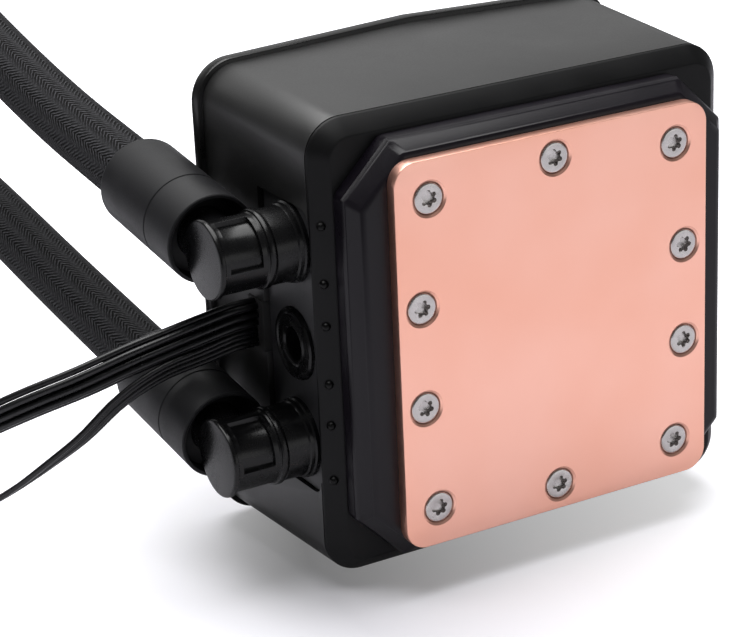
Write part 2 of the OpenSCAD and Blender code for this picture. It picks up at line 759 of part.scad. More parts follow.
// Four coils, one round each pole
module stator_coils() {
    coil_out = stator_d / 2 - 2.8;
    coil_in = can_out_d / 2 + 0.8;
    coil_wide = 3.2;
    color([0.72, 0.42, 0.25]) for (k = [0:3]) rotate([0, k * 90, 0]) difference() {
        translate([coil_in, stator_y - 0.15, -pole_w / 2 - coil_wide / 2])
            cube([coil_out - coil_in - 1.6, stator_l + 0.3 + 1.2, pole_w + coil_wide]);
        translate([coil_in - cut, stator_y - 0.05, -pole_w / 2 - 0.1])
            cube([coil_out, stator_l + 0.1, pole_w + 0.2]);
    }
}

// Controller board on the screw posts, with its parts and lead sockets
module controller_board() {
    board_w = 2 * (post_at + board_over);
    parts = [[driver_at, driver_size], [sensor_at, sensor_size], [socket_at, socket_size]];
    color([0.12, 0.3, 0.2]) difference() {
        union() {
            along_y(board_y, board_y + board_t) round_rect(board_w, board_w, board_r);
            for (p = parts) translate([p[0][0], board_y + board_t - part_sink, p[0][1]]) cube(p[1]);
        }
        for (sx = [-1, 1], sz = [-1, 1])
            rod_y(sx * post_at, sz * post_at, board_y - cut, board_y + board_t + cut,
                post_top_d + 2 * fit_gap);
    }
}

// Plug in the fill hole, with its round key hole
module fill_plug() {
    color(black) difference() {
        union() {
            rod_x(port_y, 0, panel_x - plug_proud, panel_x + plug_head_l - 0.9, plug_d);
            rod_x(port_y, 0, panel_x + 0.1, panel_x + port_depth - 3, plug_stem_d);
        }
        rod_x(port_y, 0, panel_x - plug_proud - cut, panel_x + 4, plug_key);
    }
}
module fill_plug_seal() {
    color([0.2, 0.2, 0.2]) ring_x(port_y, 0, panel_x + plug_head_l - 0.88, panel_x + plug_head_l - 0.02,
        plug_stem_d + 0.1, plug_d - 0.1);
}

// Two spring clips that hold the spigots in their bosses
module elbow_clips() {
    color(dark_grey) for (z = [upper_z, lower_z]) along_x(clip_x - clip_t / 2, clip_x + clip_t / 2)
        translate([port_y, z]) difference() {
            intersection() {
                translate([-clip_half, -clip_leg_l]) square([2 * clip_half, clip_leg_l + boss_d / 2]);
                circle(d = boss_d - 0.2);
            }
            circle(r = clip_inner);
            translate([-clip_inner, -clip_leg_l - cut]) square([2 * clip_inner, clip_leg_l + cut]);
        }
}

// Swivel elbow: spigot, ring, waisted drum with end cap, and neck
module elbow(z, tilt) {
    color(black) difference() {
        union() {
            rod_x(port_y, z, boss_end - 0.3, panel_x + port_depth - 0.6, spigot_d);
            rod_x(port_y, z, drum_start, drum_start + ring_t, ring_d);
            rod_x(port_y, z, drum_end, drum_start + 0.1, drum_d);
            rod_x(port_y, z, drum_end, drum_end + 1, drum_cap_d);
            translate([hose_x, port_y, z]) rotate([tilt - 90, 0, 0])
                cylinder(h = neck_end, d = neck_d);
        }
        // Water way round the corner, and the grooves for clip and seal
        rod_x(port_y, z, hose_x, panel_x + port_depth, way_d);
        translate([hose_x, port_y, z]) sphere(d = way_d);
        translate([hose_x, port_y, z]) rotate([tilt - 90, 0, 0])
            cylinder(h = neck_end + cut, d = way_d);
        ring_x(port_y, z, clip_x - clip_t / 2 - 0.08, clip_x + clip_t / 2 + 0.08, clip_groove_d,
            spigot_d + 1);
        ring_x(port_y, z, seal_x - seal_w / 2, seal_x + seal_w / 2, seal_groove_d, spigot_d + 1);
        drum_waist(z, tilt);
    }
}

// Pocket in the drum's front, between end cap and ring, above a rib
module drum_waist(z, tilt) {
    intersection() {
        ring_x(port_y, z, drum_end + 1.8, drum_start - 1, drum_d - 1.6, drum_d + 2);
        translate([0, port_y, z]) rotate([tilt, 0, 0])
            translate([drum_end, -drum_d, -0.3]) cube([drum_l, drum_d, drum_d]);
    }
}

// Seal in the spigot's groove
module elbow_seal(z) {
    color([0.2, 0.2, 0.2]) ring_x(port_y, z, seal_x - seal_w / 2 + 0.05, seal_x + seal_w / 2 - 0.05,
        seal_groove_d + 0.04, spigot_d + 2 * run_gap - 0.04);
}

// Collar profile, radius against length, turned round its axis
module collar_turned() {
    bore = neck_d / 2 + fit_gap;
    mouth = hose_r + soft_gap;
    out = collar_d / 2;
    far_r = 1.4;
    rotate_extrude($fn = 64) polygon(concat(
        [[bore, mouth_depth], [out - mouth_wall, mouth_depth], [out - mouth_wall, 0],
         [out - 0.1, 0], [out, 0.1], [out, collar_l * 0.325], [out - 0.15, collar_l * 0.33],
         [out - 0.15, collar_l * 0.34], [out, collar_l * 0.345]],
        [for (k = [0:6]) [out - far_r + far_r * cos(k * 15), collar_l - far_r + far_r * sin(k * 15)]],
        [[mouth, collar_l], [mouth, collar_l - hose_grip - 0.1], [bore, collar_l - hose_grip - 0.1]]));
}
module collar(z, tilt) {
    color(dark_grey) translate([hose_x, port_y, z]) rotate([tilt - 90, 0, 0])
        translate([0, 0, collar_start]) collar_turned();
}

// Point on an elbow's neck axis at a distance from the swivel axis
function neck_point(z, tilt, s) = [hose_x, port_y + s * cos(tilt), z + s * sin(tilt)];
function hose_points(z, tilt, run, end_z) = concat(
    [neck_point(z, tilt, neck_end + soft_gap), neck_point(z, tilt, collar_end + 3)],
    run,
    [[rad_port_x, rad_collar_y - collar_l - 3, end_z],
     [rad_port_x, rad_y - rad_neck_l - soft_gap, end_z]]);

module upper_elbow() elbow(upper_z, upper_tilt);
module upper_elbow_seal() elbow_seal(upper_z);
module upper_collar() collar(upper_z, upper_tilt);
module upper_hose() {
    color(black) tube(hose_points(upper_z, upper_tilt, upper_run, rad_port_z + rad_port_pitch / 2),
        hose_r, 12);
}
module lower_elbow() elbow(lower_z, lower_tilt);
module lower_elbow_seal() elbow_seal(lower_z);
module lower_collar() collar(lower_z, lower_tilt);
module lower_hose() {
    color(black) tube(hose_points(lower_z, lower_tilt, lower_run, rad_port_z - rad_port_pitch / 2),
        hose_r, 12);
}

// Grommet behind the port panel, where both leads come out
module lead_grommet() {
    color([0.13, 0.13, 0.13]) translate([grommet_face, panel_rear + fit_gap, grommet_bottom])
        cube([panel_x + wall + 0.6 - grommet_face, grommet_rear - panel_rear - fit_gap,
            grommet_top - grommet_bottom]);
}

// Leads as plain tubes, with their plugs on the floor
module power_lead() {
    color(black) tube(concat([[grommet_face, lead_y, power_z]], power_run), power_d / 2, 8);
}
module speed_lead() {
    color(black) tube(concat([[grommet_face, lead_y, speed_z]], speed_run), speed_d / 2, 8);
}

// Flat plug housing with contact slots, lying at the end of a lead
module plug_housing(p, w, h, l, ways) {
    translate([p[0] - w / 2, p[1], floor_z]) difference() {
        cube([w, l, h]);
        for (k = [0:ways - 1])
            translate([w * (k + 0.5) / ways - w / ways * 0.3, l - 5, h * 0.3])
                cube([w / ways * 0.6, 5 + cut, h * 0.4]);
    }
}
module power_plug() {
    color(black) plug_housing(power_run[len(power_run) - 1], 22, 6.4, 13, 5);
}
module speed_plug() {
    color(black) plug_housing(speed_run[len(speed_run) - 1], 8, 5.8, 12, 3);
}

// Hollow end tank with slots for the flat tubes
module tank(x0, x1, header_x) {
    difference() {
        translate([x0, rad_y, floor_z]) cube([x1 - x0, rad_t, rad_h]);
        translate([x0 + tank_wall, rad_y + tank_wall, floor_z + tank_wall])
            cube([x1 - x0 - 2 * tank_wall, rad_t - 2 * tank_wall, rad_h - 2 * tank_wall]);
        for (k = [0:tube_count])
            translate([header_x - tube_seat, rad_y + (rad_t - core_t) / 2 - fit_gap, tube_z(k) - fit_gap])
                cube([2 * tube_seat, core_t + 2 * fit_gap, tube_h + 2 * fit_gap]);
    }
}

module port_tank() {
    color(black) difference() {
        tank(core_right, rad_right, core_right);
        for (sz = [-1, 1])
            rod_y(rad_port_x, rad_port_z + sz * rad_port_pitch / 2, rad_y - cut, rad_y + tank_wall + cut,
                neck_d + 2 * fit_gap);
        translate([rad_right - port_tank_w / 2, rad_y + rad_t / 2, floor_z + rad_h - tank_wall - cut])
            cylinder(h = tank_wall + 2 * cut, d = bleed_d + 2 * fit_gap);
    }
}
module plain_tank() {
    color(black) tank(core_left - plain_tank_w, core_left, core_left);
}

// Flat water tubes between the two tanks
module water_tubes() {
    color([0.16, 0.16, 0.17]) for (k = [0:tube_count])
        translate([core_left - tank_wall, rad_y + (rad_t - core_t) / 2, tube_z(k)])
            cube([core_l + 2 * tank_wall, core_t, tube_h]);
}

// Folded fins, one strip in each gap between two water tubes
module folded_fins() {
    strip_h = core_pitch - tube_h - 0.1;
    folds = floor((core_l - 2) / fold);
    first = core_left + (core_l - folds * fold) / 2;
    color([0.2, 0.2, 0.21]) for (k = [0:tube_count - 1])
        translate([first, rad_y + (rad_t - core_t) / 2, tube_z(k) + tube_h + 0.05])
            translate([0, core_t, 0]) rotate([90, 0, 0]) linear_extrude(core_t)
                polygon(concat(
                    [for (i = [0:2 * folds]) [i * fold / 2, i % 2 == 0 ? fold_t : strip_h]],
                    [for (i = [2 * folds:-1:0]) [i * fold / 2, i % 2 == 0 ? 0 : strip_h - fold_t]]));
}

// Channel rails along both long sides, with the fan's screw holes
module radiator_rails() {
    rail_at = rad_h / 2 - rail_w / 2;
    color(black) for (sz = [-1, 1]) translate([rad_mid_x, rad_y + rad_t / 2, rad_mid_z]) difference() {
        translate([0, 0, sz * rail_at]) cube([core_l - 0.2, rad_t, rail_w], center = true);
        translate([0, 0, sz * (rail_at - rail_t)])
            cube([core_l + 2 * cut, rad_t - 2 * rail_t, rail_w], center = true);
        for (sx = [-1, 1])
            rod_y(sx * fan_pitch / 2, sz * fan_pitch / 2, -rad_t, rad_t, fan_hole_d);
    }
}

// Two straight ports with necks, on the face towards the block
module radiator_ports() {
    color(black) for (sz = [-1, 1]) {
        z = rad_port_z + sz * rad_port_pitch / 2;
        difference() {
            union() {
                rod_y(rad_port_x, z, rad_y - rad_base_l, rad_y, rad_base_d);
                rod_y(rad_port_x, z, rad_y - rad_neck_l, rad_y + tank_wall, neck_d);
            }
            rod_y(rad_port_x, z, rad_y - rad_neck_l - cut, rad_y + tank_wall + cut, way_d);
        }
    }
}
module radiator_collars() {
    color(dark_grey) for (sz = [-1, 1])
        translate([rad_port_x, rad_collar_y, rad_port_z + sz * rad_port_pitch / 2])
            rotate([90, 0, 0]) collar_turned();
}

// Screw that closes the fill hole in the port tank
module bleed_screw() {
    color(steel) translate([rad_right - port_tank_w / 2, rad_y + rad_t / 2, floor_z + rad_h]) difference() {
        union() {
            cylinder(h = 1.4, d = bleed_d + 3);
            translate([0, 0, -4]) cylinder(h = 4.1, d = bleed_d);
        }
        translate([-3, -0.4, 0.7]) cube([6, 0.8, 1]);
    }
}

shroud();
rear_cap();
shroud_screws();
pump_base();
cold_plate();
plate_screws();
plate_gasket();
jet_plate();
impeller();
rotor_magnet();
pump_shaft();
shaft_bearings();
rotor_can();
can_seal();
stator_core();
stator_coils();
controller_board();
fill_plug();
fill_plug_seal();
elbow_clips();
upper_elbow();
upper_elbow_seal();
upper_collar();
upper_hose();
lower_elbow();
lower_elbow_seal();
lower_collar();
lower_hose();
lead_grommet();
power_lead();
power_plug();
speed_lead();
speed_plug();
port_tank();
plain_tank();
water_tubes();
folded_fins();
radiator_rails();
radiator_ports();
radiator_collars();
bleed_screw();
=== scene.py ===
"""Looks of an all-in-one liquid cooler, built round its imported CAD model.

Lengths are in millimetres in this file and in metres in Blender. X points right, Y runs from the
cold plate into the block, Z points up, and the origin is the centre of the plate's contact face.
"""

import logging
import math
from dataclasses import dataclass, field
from enum import Enum
from typing import Any, Callable, Iterable, Sequence

import bmesh
import bpy
from mathutils import Matrix, Vector


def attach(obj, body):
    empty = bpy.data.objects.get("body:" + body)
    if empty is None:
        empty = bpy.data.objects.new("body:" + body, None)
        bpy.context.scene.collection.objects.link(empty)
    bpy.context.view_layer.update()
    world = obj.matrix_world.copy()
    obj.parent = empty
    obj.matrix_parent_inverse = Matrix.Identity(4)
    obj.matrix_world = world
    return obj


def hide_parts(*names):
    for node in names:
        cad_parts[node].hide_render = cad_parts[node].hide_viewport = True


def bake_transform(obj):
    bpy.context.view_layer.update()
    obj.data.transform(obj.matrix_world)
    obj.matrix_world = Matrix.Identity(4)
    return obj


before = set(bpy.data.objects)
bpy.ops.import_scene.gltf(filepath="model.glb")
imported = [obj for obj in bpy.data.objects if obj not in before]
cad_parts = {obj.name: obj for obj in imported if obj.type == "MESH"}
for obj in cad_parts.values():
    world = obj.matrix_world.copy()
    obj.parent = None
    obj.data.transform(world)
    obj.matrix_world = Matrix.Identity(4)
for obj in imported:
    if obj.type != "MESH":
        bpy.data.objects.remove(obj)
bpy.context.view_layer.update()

LOG = logging.getLogger("cooler")
MM = 0.001
FULL_TURN = 2 * math.pi

# Swivel ports: their depth behind the contact face, their heights, the line of the hoses and its slope
PORT_Y = 17.4
UPPER_Z = 16.9
LOWER_Z = -15.9
HOSE_X = -47.7
TILT = 6.5

Point = Sequence[float]
EdgeTest = Callable[[Vector, Vector], bool]
FaceTest = Callable[[Vector, Vector], bool]


class Body(Enum):
    """Names of the CAD bodies that pieces ride on."""

    COOLER = "cooler"
    UPPER = "upper_fitting"
    LOWER = "lower_fitting"


def mm(*values: float) -> Vector:
    """Returns a vector in metres from lengths in millimetres."""
    return Vector(values) * MM


# Workbench: bpy.ops wrapped for one piece at a time


def deselect() -> None:
    """Leaves object mode and deselects everything."""
    if bpy.context.object and bpy.context.object.mode != "OBJECT":
        bpy.ops.object.mode_set(mode="OBJECT")
    bpy.ops.object.select_all(action="DESELECT")


def choose(piece: bpy.types.Object) -> None:
    """Makes a piece the only selected object and the active one."""
    deselect()
    piece.select_set(True)
    bpy.context.view_layer.objects.active = piece


def settle(piece: bpy.types.Object, name: str = "") -> bpy.types.Object:
    """Moves a piece's place into its mesh and names it.

    Args:
        piece: the object.
        name: its name, or empty to keep it.

    Returns:
        The object.
    """
    choose(piece)
    bpy.ops.object.transform_apply(location=True, rotation=True, scale=True)
    if name:
        piece.name = name
        piece.data.name = name
    return piece


def block(name: str, low: Point, high: Point) -> bpy.types.Object:
    """Adds a block between two corners.

    Args:
        name: the piece's name.
        low: lowest corner.
        high: highest corner.

    Returns:
        The new object.
    """
    deselect()
    centre = (mm(*low) + mm(*high)) / 2
    bpy.ops.mesh.primitive_cube_add(size=1, location=centre, scale=mm(*high) - mm(*low))
    return settle(bpy.context.object, name)


def rod(name: str, start: Point, end: Point, radius: float, sides: int = 48) -> bpy.types.Object:
    """Adds a round bar between two points.

    Args:
        name: the piece's name.
        start: centre of one end.
        end: centre of the other end.
        radius: its radius.
        sides: sides of its outline.

    Returns:
        The new object.
    """
    deselect()
    along = mm(*end) - mm(*start)
    turn = Vector((0, 0, 1)).rotation_difference(along).to_euler()
    bpy.ops.mesh.primitive_cylinder_add(
        vertices=sides, radius=radius * MM, depth=along.length,
        location=(mm(*start) + mm(*end)) / 2, rotation=turn)
    return settle(bpy.context.object, name)


def lathe(name: str, profile: Iterable[Sequence[float]], place: Matrix, steps: int = 64) -> bpy.types.Object:
    """Spins a profile round an axis.

    Args:
        name: the piece's name.
        profile: (radius, length along the axis) pairs, in order.
        place: where the axis stands: the local Z axis of this matrix, which is in metres.
        steps: segments of the full turn.

    Returns:
        The new object.
    """
    points = [Vector((r * MM, 0, s * MM)) for r, s in profile]
    deselect()
    bpy.ops.mesh.primitive_plane_add(size=MM)
    piece = bpy.context.object
    enter_edit("VERT")
    bpy.ops.mesh.select_all(action="SELECT")
    bpy.ops.mesh.merge(type="CENTER")
    bpy.ops.transform.translate(value=points[0])
    for here, there in zip(points, points[1:]):
        bpy.ops.mesh.extrude_region_move(TRANSFORM_OT_translate={"value": there - here})
    bpy.ops.mesh.select_all(action="SELECT")
    bpy.ops.mesh.spin(steps=steps, angle=FULL_TURN, center=(0, 0, 0), axis=(0, 0, 1))
    bpy.ops.mesh.select_all(action="SELECT")
    bpy.ops.mesh.remove_doubles(threshold=0.0005 * MM)
    bpy.ops.mesh.normals_make_consistent(inside=False)
    bpy.ops.object.mode_set(mode="OBJECT")
    piece.data.transform(place)
    return settle(piece, name)


def enter_edit(kind: str) -> None:
    """Enters edit mode with vertices, edges or faces as what is selected."""
    kinds = ("VERT", "EDGE", "FACE")
    bpy.context.tool_settings.mesh_select_mode = tuple(kind == k for k in kinds)
    bpy.ops.object.mode_set(mode="EDIT")


def pick(piece: bpy.types.Object, parts: Iterable[Any], test: Callable[[Any], bool]) -> None:
    """Selects those of a mesh's edges or faces that pass a test, with their corners."""
    mesh = piece.data
    for group in (mesh.vertices, mesh.edges, mesh.polygons):
        group.foreach_set("select", [False] * len(group))
    for part in parts:
        if test(part):
            part.select = True
            for k in part.vertices:
                mesh.vertices[k].select = True


def pick_edges(piece: bpy.types.Object, test: EdgeTest) -> None:
    """Selects the edges that pass a test on their two ends, given in millimetres."""
    corners = piece.data.vertices
    pick(piece, piece.data.edges, lambda edge: test(*(corners[k].co / MM for k in edge.vertices)))


def pick_faces(piece: bpy.types.Object, test: FaceTest) -> None:
    """Selects the faces that pass a test on their centre, in millimetres, and normal."""
    pick(piece, piece.data.polygons, lambda face: test(face.center / MM, face.normal))


def bevel(piece: bpy.types.Object, test: EdgeTest, width: float, segments: int = 3) -> None:
    """Rounds the edges that pass a test.

    Args:
        piece: the object.
        test: picks an edge by its ends, in millimetres.
        width: how far the rounding reaches on each side.
        segments: its steps; 1 makes a flat chamfer.
    """
    choose(piece)
    pick_edges(piece, test)
    enter_edit("EDGE")
    bpy.ops.mesh.bevel(offset=width * MM, segments=segments, profile=0.5, affect="EDGES")
    bpy.ops.object.mode_set(mode="OBJECT")


def draw_out(piece: bpy.types.Object, test: FaceTest, move: Point, scale: Point) -> None:
    """Extrudes the faces that pass a test, and scales what was drawn out about the origin.

    Args:
        piece: the object.
        test: picks a face by its centre in millimetres and its normal.
        move: how far the faces are drawn out.
        scale: factors along X, Y and Z for the new face.
    """
    choose(piece)
    pick_faces(piece, test)
    enter_edit("FACE")
    bpy.ops.mesh.extrude_region_move(TRANSFORM_OT_translate={"value": mm(*move)})
    bpy.ops.transform.resize(value=scale, center_override=(0, 0, 0))
    bpy.ops.object.mode_set(mode="OBJECT")


def drop_faces(piece: bpy.types.Object, test: FaceTest) -> None:
    """Deletes the faces that pass a test."""
    choose(piece)
    pick_faces(piece, test)
    enter_edit("FACE")
    bpy.ops.mesh.delete(type="FACE")
    bpy.ops.object.mode_set(mode="OBJECT")


def modify(piece: bpy.types.Object, kind: str, **settings: Any) -> None:
    """Adds a modifier to a piece and applies it."""
    choose(piece)
    modifier = piece.modifiers.new(kind, kind)
    for key, value in settings.items():
        setattr(modifier, key, value)
    bpy.ops.object.modifier_apply(modifier=modifier.name)


def carve(piece: bpy.types.Object, *cutters: bpy.types.Object, how: str = "DIFFERENCE") -> None:
    """Cuts other pieces out of a piece, or joins them to it, and removes them."""
    for cutter in cutters:
        modify(piece, "BOOLEAN", object=cutter, operation=how, solver="EXACT")
        bpy.data.objects.remove(cutter)


def soften(piece: bpy.types.Object, width: float, angle: float = 30, segments: int = 2) -> None:
    """Rounds every sharp edge of a piece a little, as a mould does."""
    modify(piece, "BEVEL", width=width * MM, segments=segments, limit_method="ANGLE",
           angle_limit=math.radians(angle), use_clamp_overlap=True, harden_normals=False)


def smooth(piece: bpy.types.Object, angle: float = 35) -> bpy.types.Object:
    """Recalculates normals and shades a piece smooth below an angle."""
    choose(piece)
    enter_edit("VERT")
    bpy.ops.mesh.select_all(action="SELECT")
    bpy.ops.mesh.normals_make_consistent(inside=False)
    bpy.ops.object.mode_set(mode="OBJECT")
    bpy.ops.object.shade_smooth_by_angle(angle=math.radians(angle))
    return piece


def join(name: str, parts: Sequence[bpy.types.Object]) -> bpy.types.Object:
    """Joins several pieces into one."""
    deselect()
    for part in parts:
        part.select_set(True)
    bpy.context.view_layer.objects.active = parts[0]
    bpy.ops.object.join()
    return settle(parts[0], name)


def copy_of(piece: bpy.types.Object, name: str, place: Matrix) -> bpy.types.Object:
    """Copies a piece, with a mesh of its own, to another place."""
    twin = piece.copy()
    twin.data = piece.data.copy()
    twin.data.transform(place)
    if place.determinant() < 0:
        twin.data.flip_normals()
    bpy.context.scene.collection.objects.link(twin)
    twin.name = name
    twin.data.name = name
    return twin


def hand_over(piece: bpy.types.Object, body: Body, slot: str, finish: bpy.types.Material,
              *nodes: str) -> bpy.types.Object:
    """Gives a piece its finish and its body, and hides the CAD nodes that it stands for.

    Args:
        piece: the object.
        body: the body that it rides on.
        slot: the record's material slot; not used.
        finish: the material.
        nodes: CAD nodes that it replaces.

    Returns:
        The object.
    """
    piece.data.materials.clear()
    piece.data.materials.append(finish)
    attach(piece, body.value)
    if nodes:
        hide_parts(*nodes)
    LOG.info("%s: %d faces on %s", piece.name, len(piece.data.polygons), body.value)
    return piece


# Finishes


def linear(code: str) -> tuple[float, float, float, float]:
    """Turns an sRGB hex value into Blender's linear colour."""
    channels = [int(code[k:k + 2], 16) / 255 for k in (1, 3, 5)]
    return (*(c / 12.92 if c <= 0.04045 else ((c + 0.055) / 1.055) ** 2.4 for c in channels), 1.0)


def add(tree: bpy.types.NodeTree, kind: str, inputs: dict[Any, Any] | None = None,
        **settings: Any) -> bpy.types.Node:
    """Adds a node to a material.

    Args:
        tree: the material's node tree.
        kind: the node's type.
        inputs: a value or another node's output for each input, by name or number.
        settings: the node's own settings.

    Returns:
        The node.
    """
    node = tree.nodes.new(kind)
    for key, value in settings.items():
        setattr(node, key, value)
    for key, value in (inputs or {}).items():
        if isinstance(value, bpy.types.NodeSocket):
            tree.links.new(value, node.inputs[key])
        else:
            node.inputs[key].default_value = value
    return node


def sum_up(tree: bpy.types.NodeTree, how: str, *values: Any) -> bpy.types.NodeSocket:
    """Returns the result of one Math node."""
    return add(tree, "ShaderNodeMath", dict(enumerate(values)), operation=how).outputs[0]


def spread(tree: bpy.types.NodeTree, value: Any, low: float, high: float, to_low: float,
           to_high: float) -> bpy.types.NodeSocket:
    """Maps a value from one range to another, and keeps it inside."""
    node = add(tree, "ShaderNodeMapRange", {0: value, 1: low, 2: high, 3: to_low, 4: to_high})
    return node.outputs[0]


def blend_colours(tree: bpy.types.NodeTree, share: Any, first: str, second: str) -> bpy.types.NodeSocket:
    """Mixes two hex colours by a share."""
    node = add(tree, "ShaderNodeMix", {0: share, 6: linear(first), 7: linear(second)}, data_type="RGBA")
    return node.outputs[2]


def noise(tree: bpy.types.NodeTree, place: Any, size: float, detail: float = 2.0,
          rough: float = 0.5) -> bpy.types.NodeSocket:
    """Returns noise whose lumps are about size millimetres across."""
    node = add(tree, "ShaderNodeTexNoise",
               {"Vector": place, "Scale": 1 / (size * MM), "Detail": detail, "Roughness": rough})
    return node.outputs[0]


def bump(tree: bpy.types.NodeTree, height: Any, depth: float, strength: float = 1.0) -> bpy.types.NodeSocket:
    """Returns a normal from a height between 0 and 1 that stands for depth millimetres."""
    node = add(tree, "ShaderNodeBump", {"Height": height, "Distance": depth * MM, "Strength": strength})
    return node.outputs[0]


@dataclass(frozen=True)
class Finish:
    """A finish of one colour with fine grain, such as moulded ABS or satin paint.

    The grain breaks up the highlights, and slow cloudy changes of roughness show handling.
    """

    name: str
    colour: str
    roughness: float
    grain: float = 0.25
    depth: float = 0.004
    cloud: float = 9.0
    cloud_colour: str = ""
    metallic: float = 0.0
    ior: float = 1.5

    def start(self) -> tuple[bpy.types.Material, bpy.types.NodeTree, bpy.types.Node]:
        """Makes the material with its shader."""
        material = bpy.data.materials.new(self.name)
        material.use_nodes = True
        tree = material.node_tree
        shader = tree.nodes["Principled BSDF"]
        shader.inputs["Base Color"].default_value = linear(self.colour)
        shader.inputs["Roughness"].default_value = self.roughness
        shader.inputs["Metallic"].default_value = self.metallic
        if not self.metallic:
            shader.inputs["IOR"].default_value = self.ior
        return material, tree, shader

    def build(self) -> bpy.types.Material:
        """Makes the material."""
        material, tree, shader = self.start()
        place = add(tree, "ShaderNodeTexCoord").outputs["Object"]
        clouds = noise(tree, place, self.cloud, 3.0)
        fine = noise(tree, place, self.grain, 2.0, 0.6)
        other = self.cloud_colour or self.colour
        tree.links.new(blend_colours(tree, spread(tree, clouds, 0.35, 0.65, 0, 1), self.colour, other),
                       shader.inputs["Base Color"])
        rough = sum_up(tree, "ADD", spread(tree, clouds, 0.3, 0.7, -0.05, 0.05),
                       spread(tree, fine, 0.3, 0.7, self.roughness - 0.03, self.roughness + 0.03))
        tree.links.new(rough, shader.inputs["Roughness"])
        tree.links.new(bump(tree, fine, self.depth), shader.inputs["Normal"])
        return material


@dataclass(frozen=True)
class BrushedCopper(Finish):
    """Bare copper, lapped flat: warm pink, with very fine scratches along Z that soften the gloss."""

    scratch: float = 0.12

    def build(self) -> bpy.types.Material:
        """Makes the material."""
        material, tree, shader = self.start()
        place = add(tree, "ShaderNodeTexCoord").outputs["Object"]
        drawn = add(tree, "ShaderNodeMapping", {"Vector": place, "Scale": (1, 1, 0.03)}).outputs[0]
        lines = noise(tree, drawn, self.scratch, 3.0, 0.6)
        clouds = noise(tree, place, self.cloud, 2.0)
        tree.links.new(blend_colours(tree, spread(tree, clouds, 0.35, 0.65, 0, 1), self.colour,
                                     self.cloud_colour), shader.inputs["Base Color"])
        tree.links.new(spread(tree, lines, 0.3, 0.7, self.roughness - 0.04, self.roughness + 0.04),
                       shader.inputs["Roughness"])
        tree.links.new(bump(tree, lines, self.depth), shader.inputs["Normal"])
        return material


@dataclass(frozen=True)
class BraidedSleeve(Finish):
    """Nylon braid: columns of slanted thread floats that meet in chevrons along the hose.

    The pattern follows the piece's UV map: U counts chevron columns, V counts threads along.
    """

    lit_thread_colour: str = "#424245"

    def build(self) -> bpy.types.Material:
        """Makes the material."""
        material, tree, shader = self.start()
        uv = add(tree, "ShaderNodeUVMap", uv_map="UVMap").outputs[0]
        parts = add(tree, "ShaderNodeSeparateXYZ", {0: uv})
        across, along = parts.outputs[0], parts.outputs[1]
        # Distance from the nearest column line, 0 to 1, makes the slant change side at each line
        slant = sum_up(tree, "PINGPONG", across, 1.0)
        wobble = noise(tree, add(tree, "ShaderNodeTexCoord").outputs["Object"], 1.2, 2.0)
        shifted = sum_up(tree, "ADD", along, sum_up(tree, "MULTIPLY", slant, 2.4))
        shifted = sum_up(tree, "ADD", shifted, sum_up(tree, "MULTIPLY", wobble, 0.9))
        ridge = sum_up(tree, "PINGPONG", shifted, 0.5)
        thread = add(tree, "ShaderNodeMapRange", {0: ridge, 1: 0.12, 2: 0.4, 3: -0.5, 4: 0.5},
                     interpolation_type="SMOOTHSTEP").outputs[0]
        # Threads stand out at every other line, where they turn over, and lie flat between
        turned = spread(tree, slant, 0.35, 0.9, 1.0, 0.2)
        height = sum_up(tree, "MULTIPLY_ADD", thread, turned, 0.5)
        # Painted light and shade: the tops of the threads are painted lighter and the gaps between them near
        # black, and the glints noise breaks up the painted highlight
        glints = noise(tree, uv, 400.0, 1.0)
        share = sum_up(tree, "MULTIPLY", height, spread(tree, glints, 0.4, 0.65, 0.5, 1.0))
        tree.links.new(blend_colours(tree, share, self.colour, self.lit_thread_colour),
                       shader.inputs["Base Color"])
        tree.links.new(spread(tree, height, 0, 1, 0.75, self.roughness), shader.inputs["Roughness"])
        tree.links.new(bump(tree, height, self.depth), shader.inputs["Normal"])
        return material


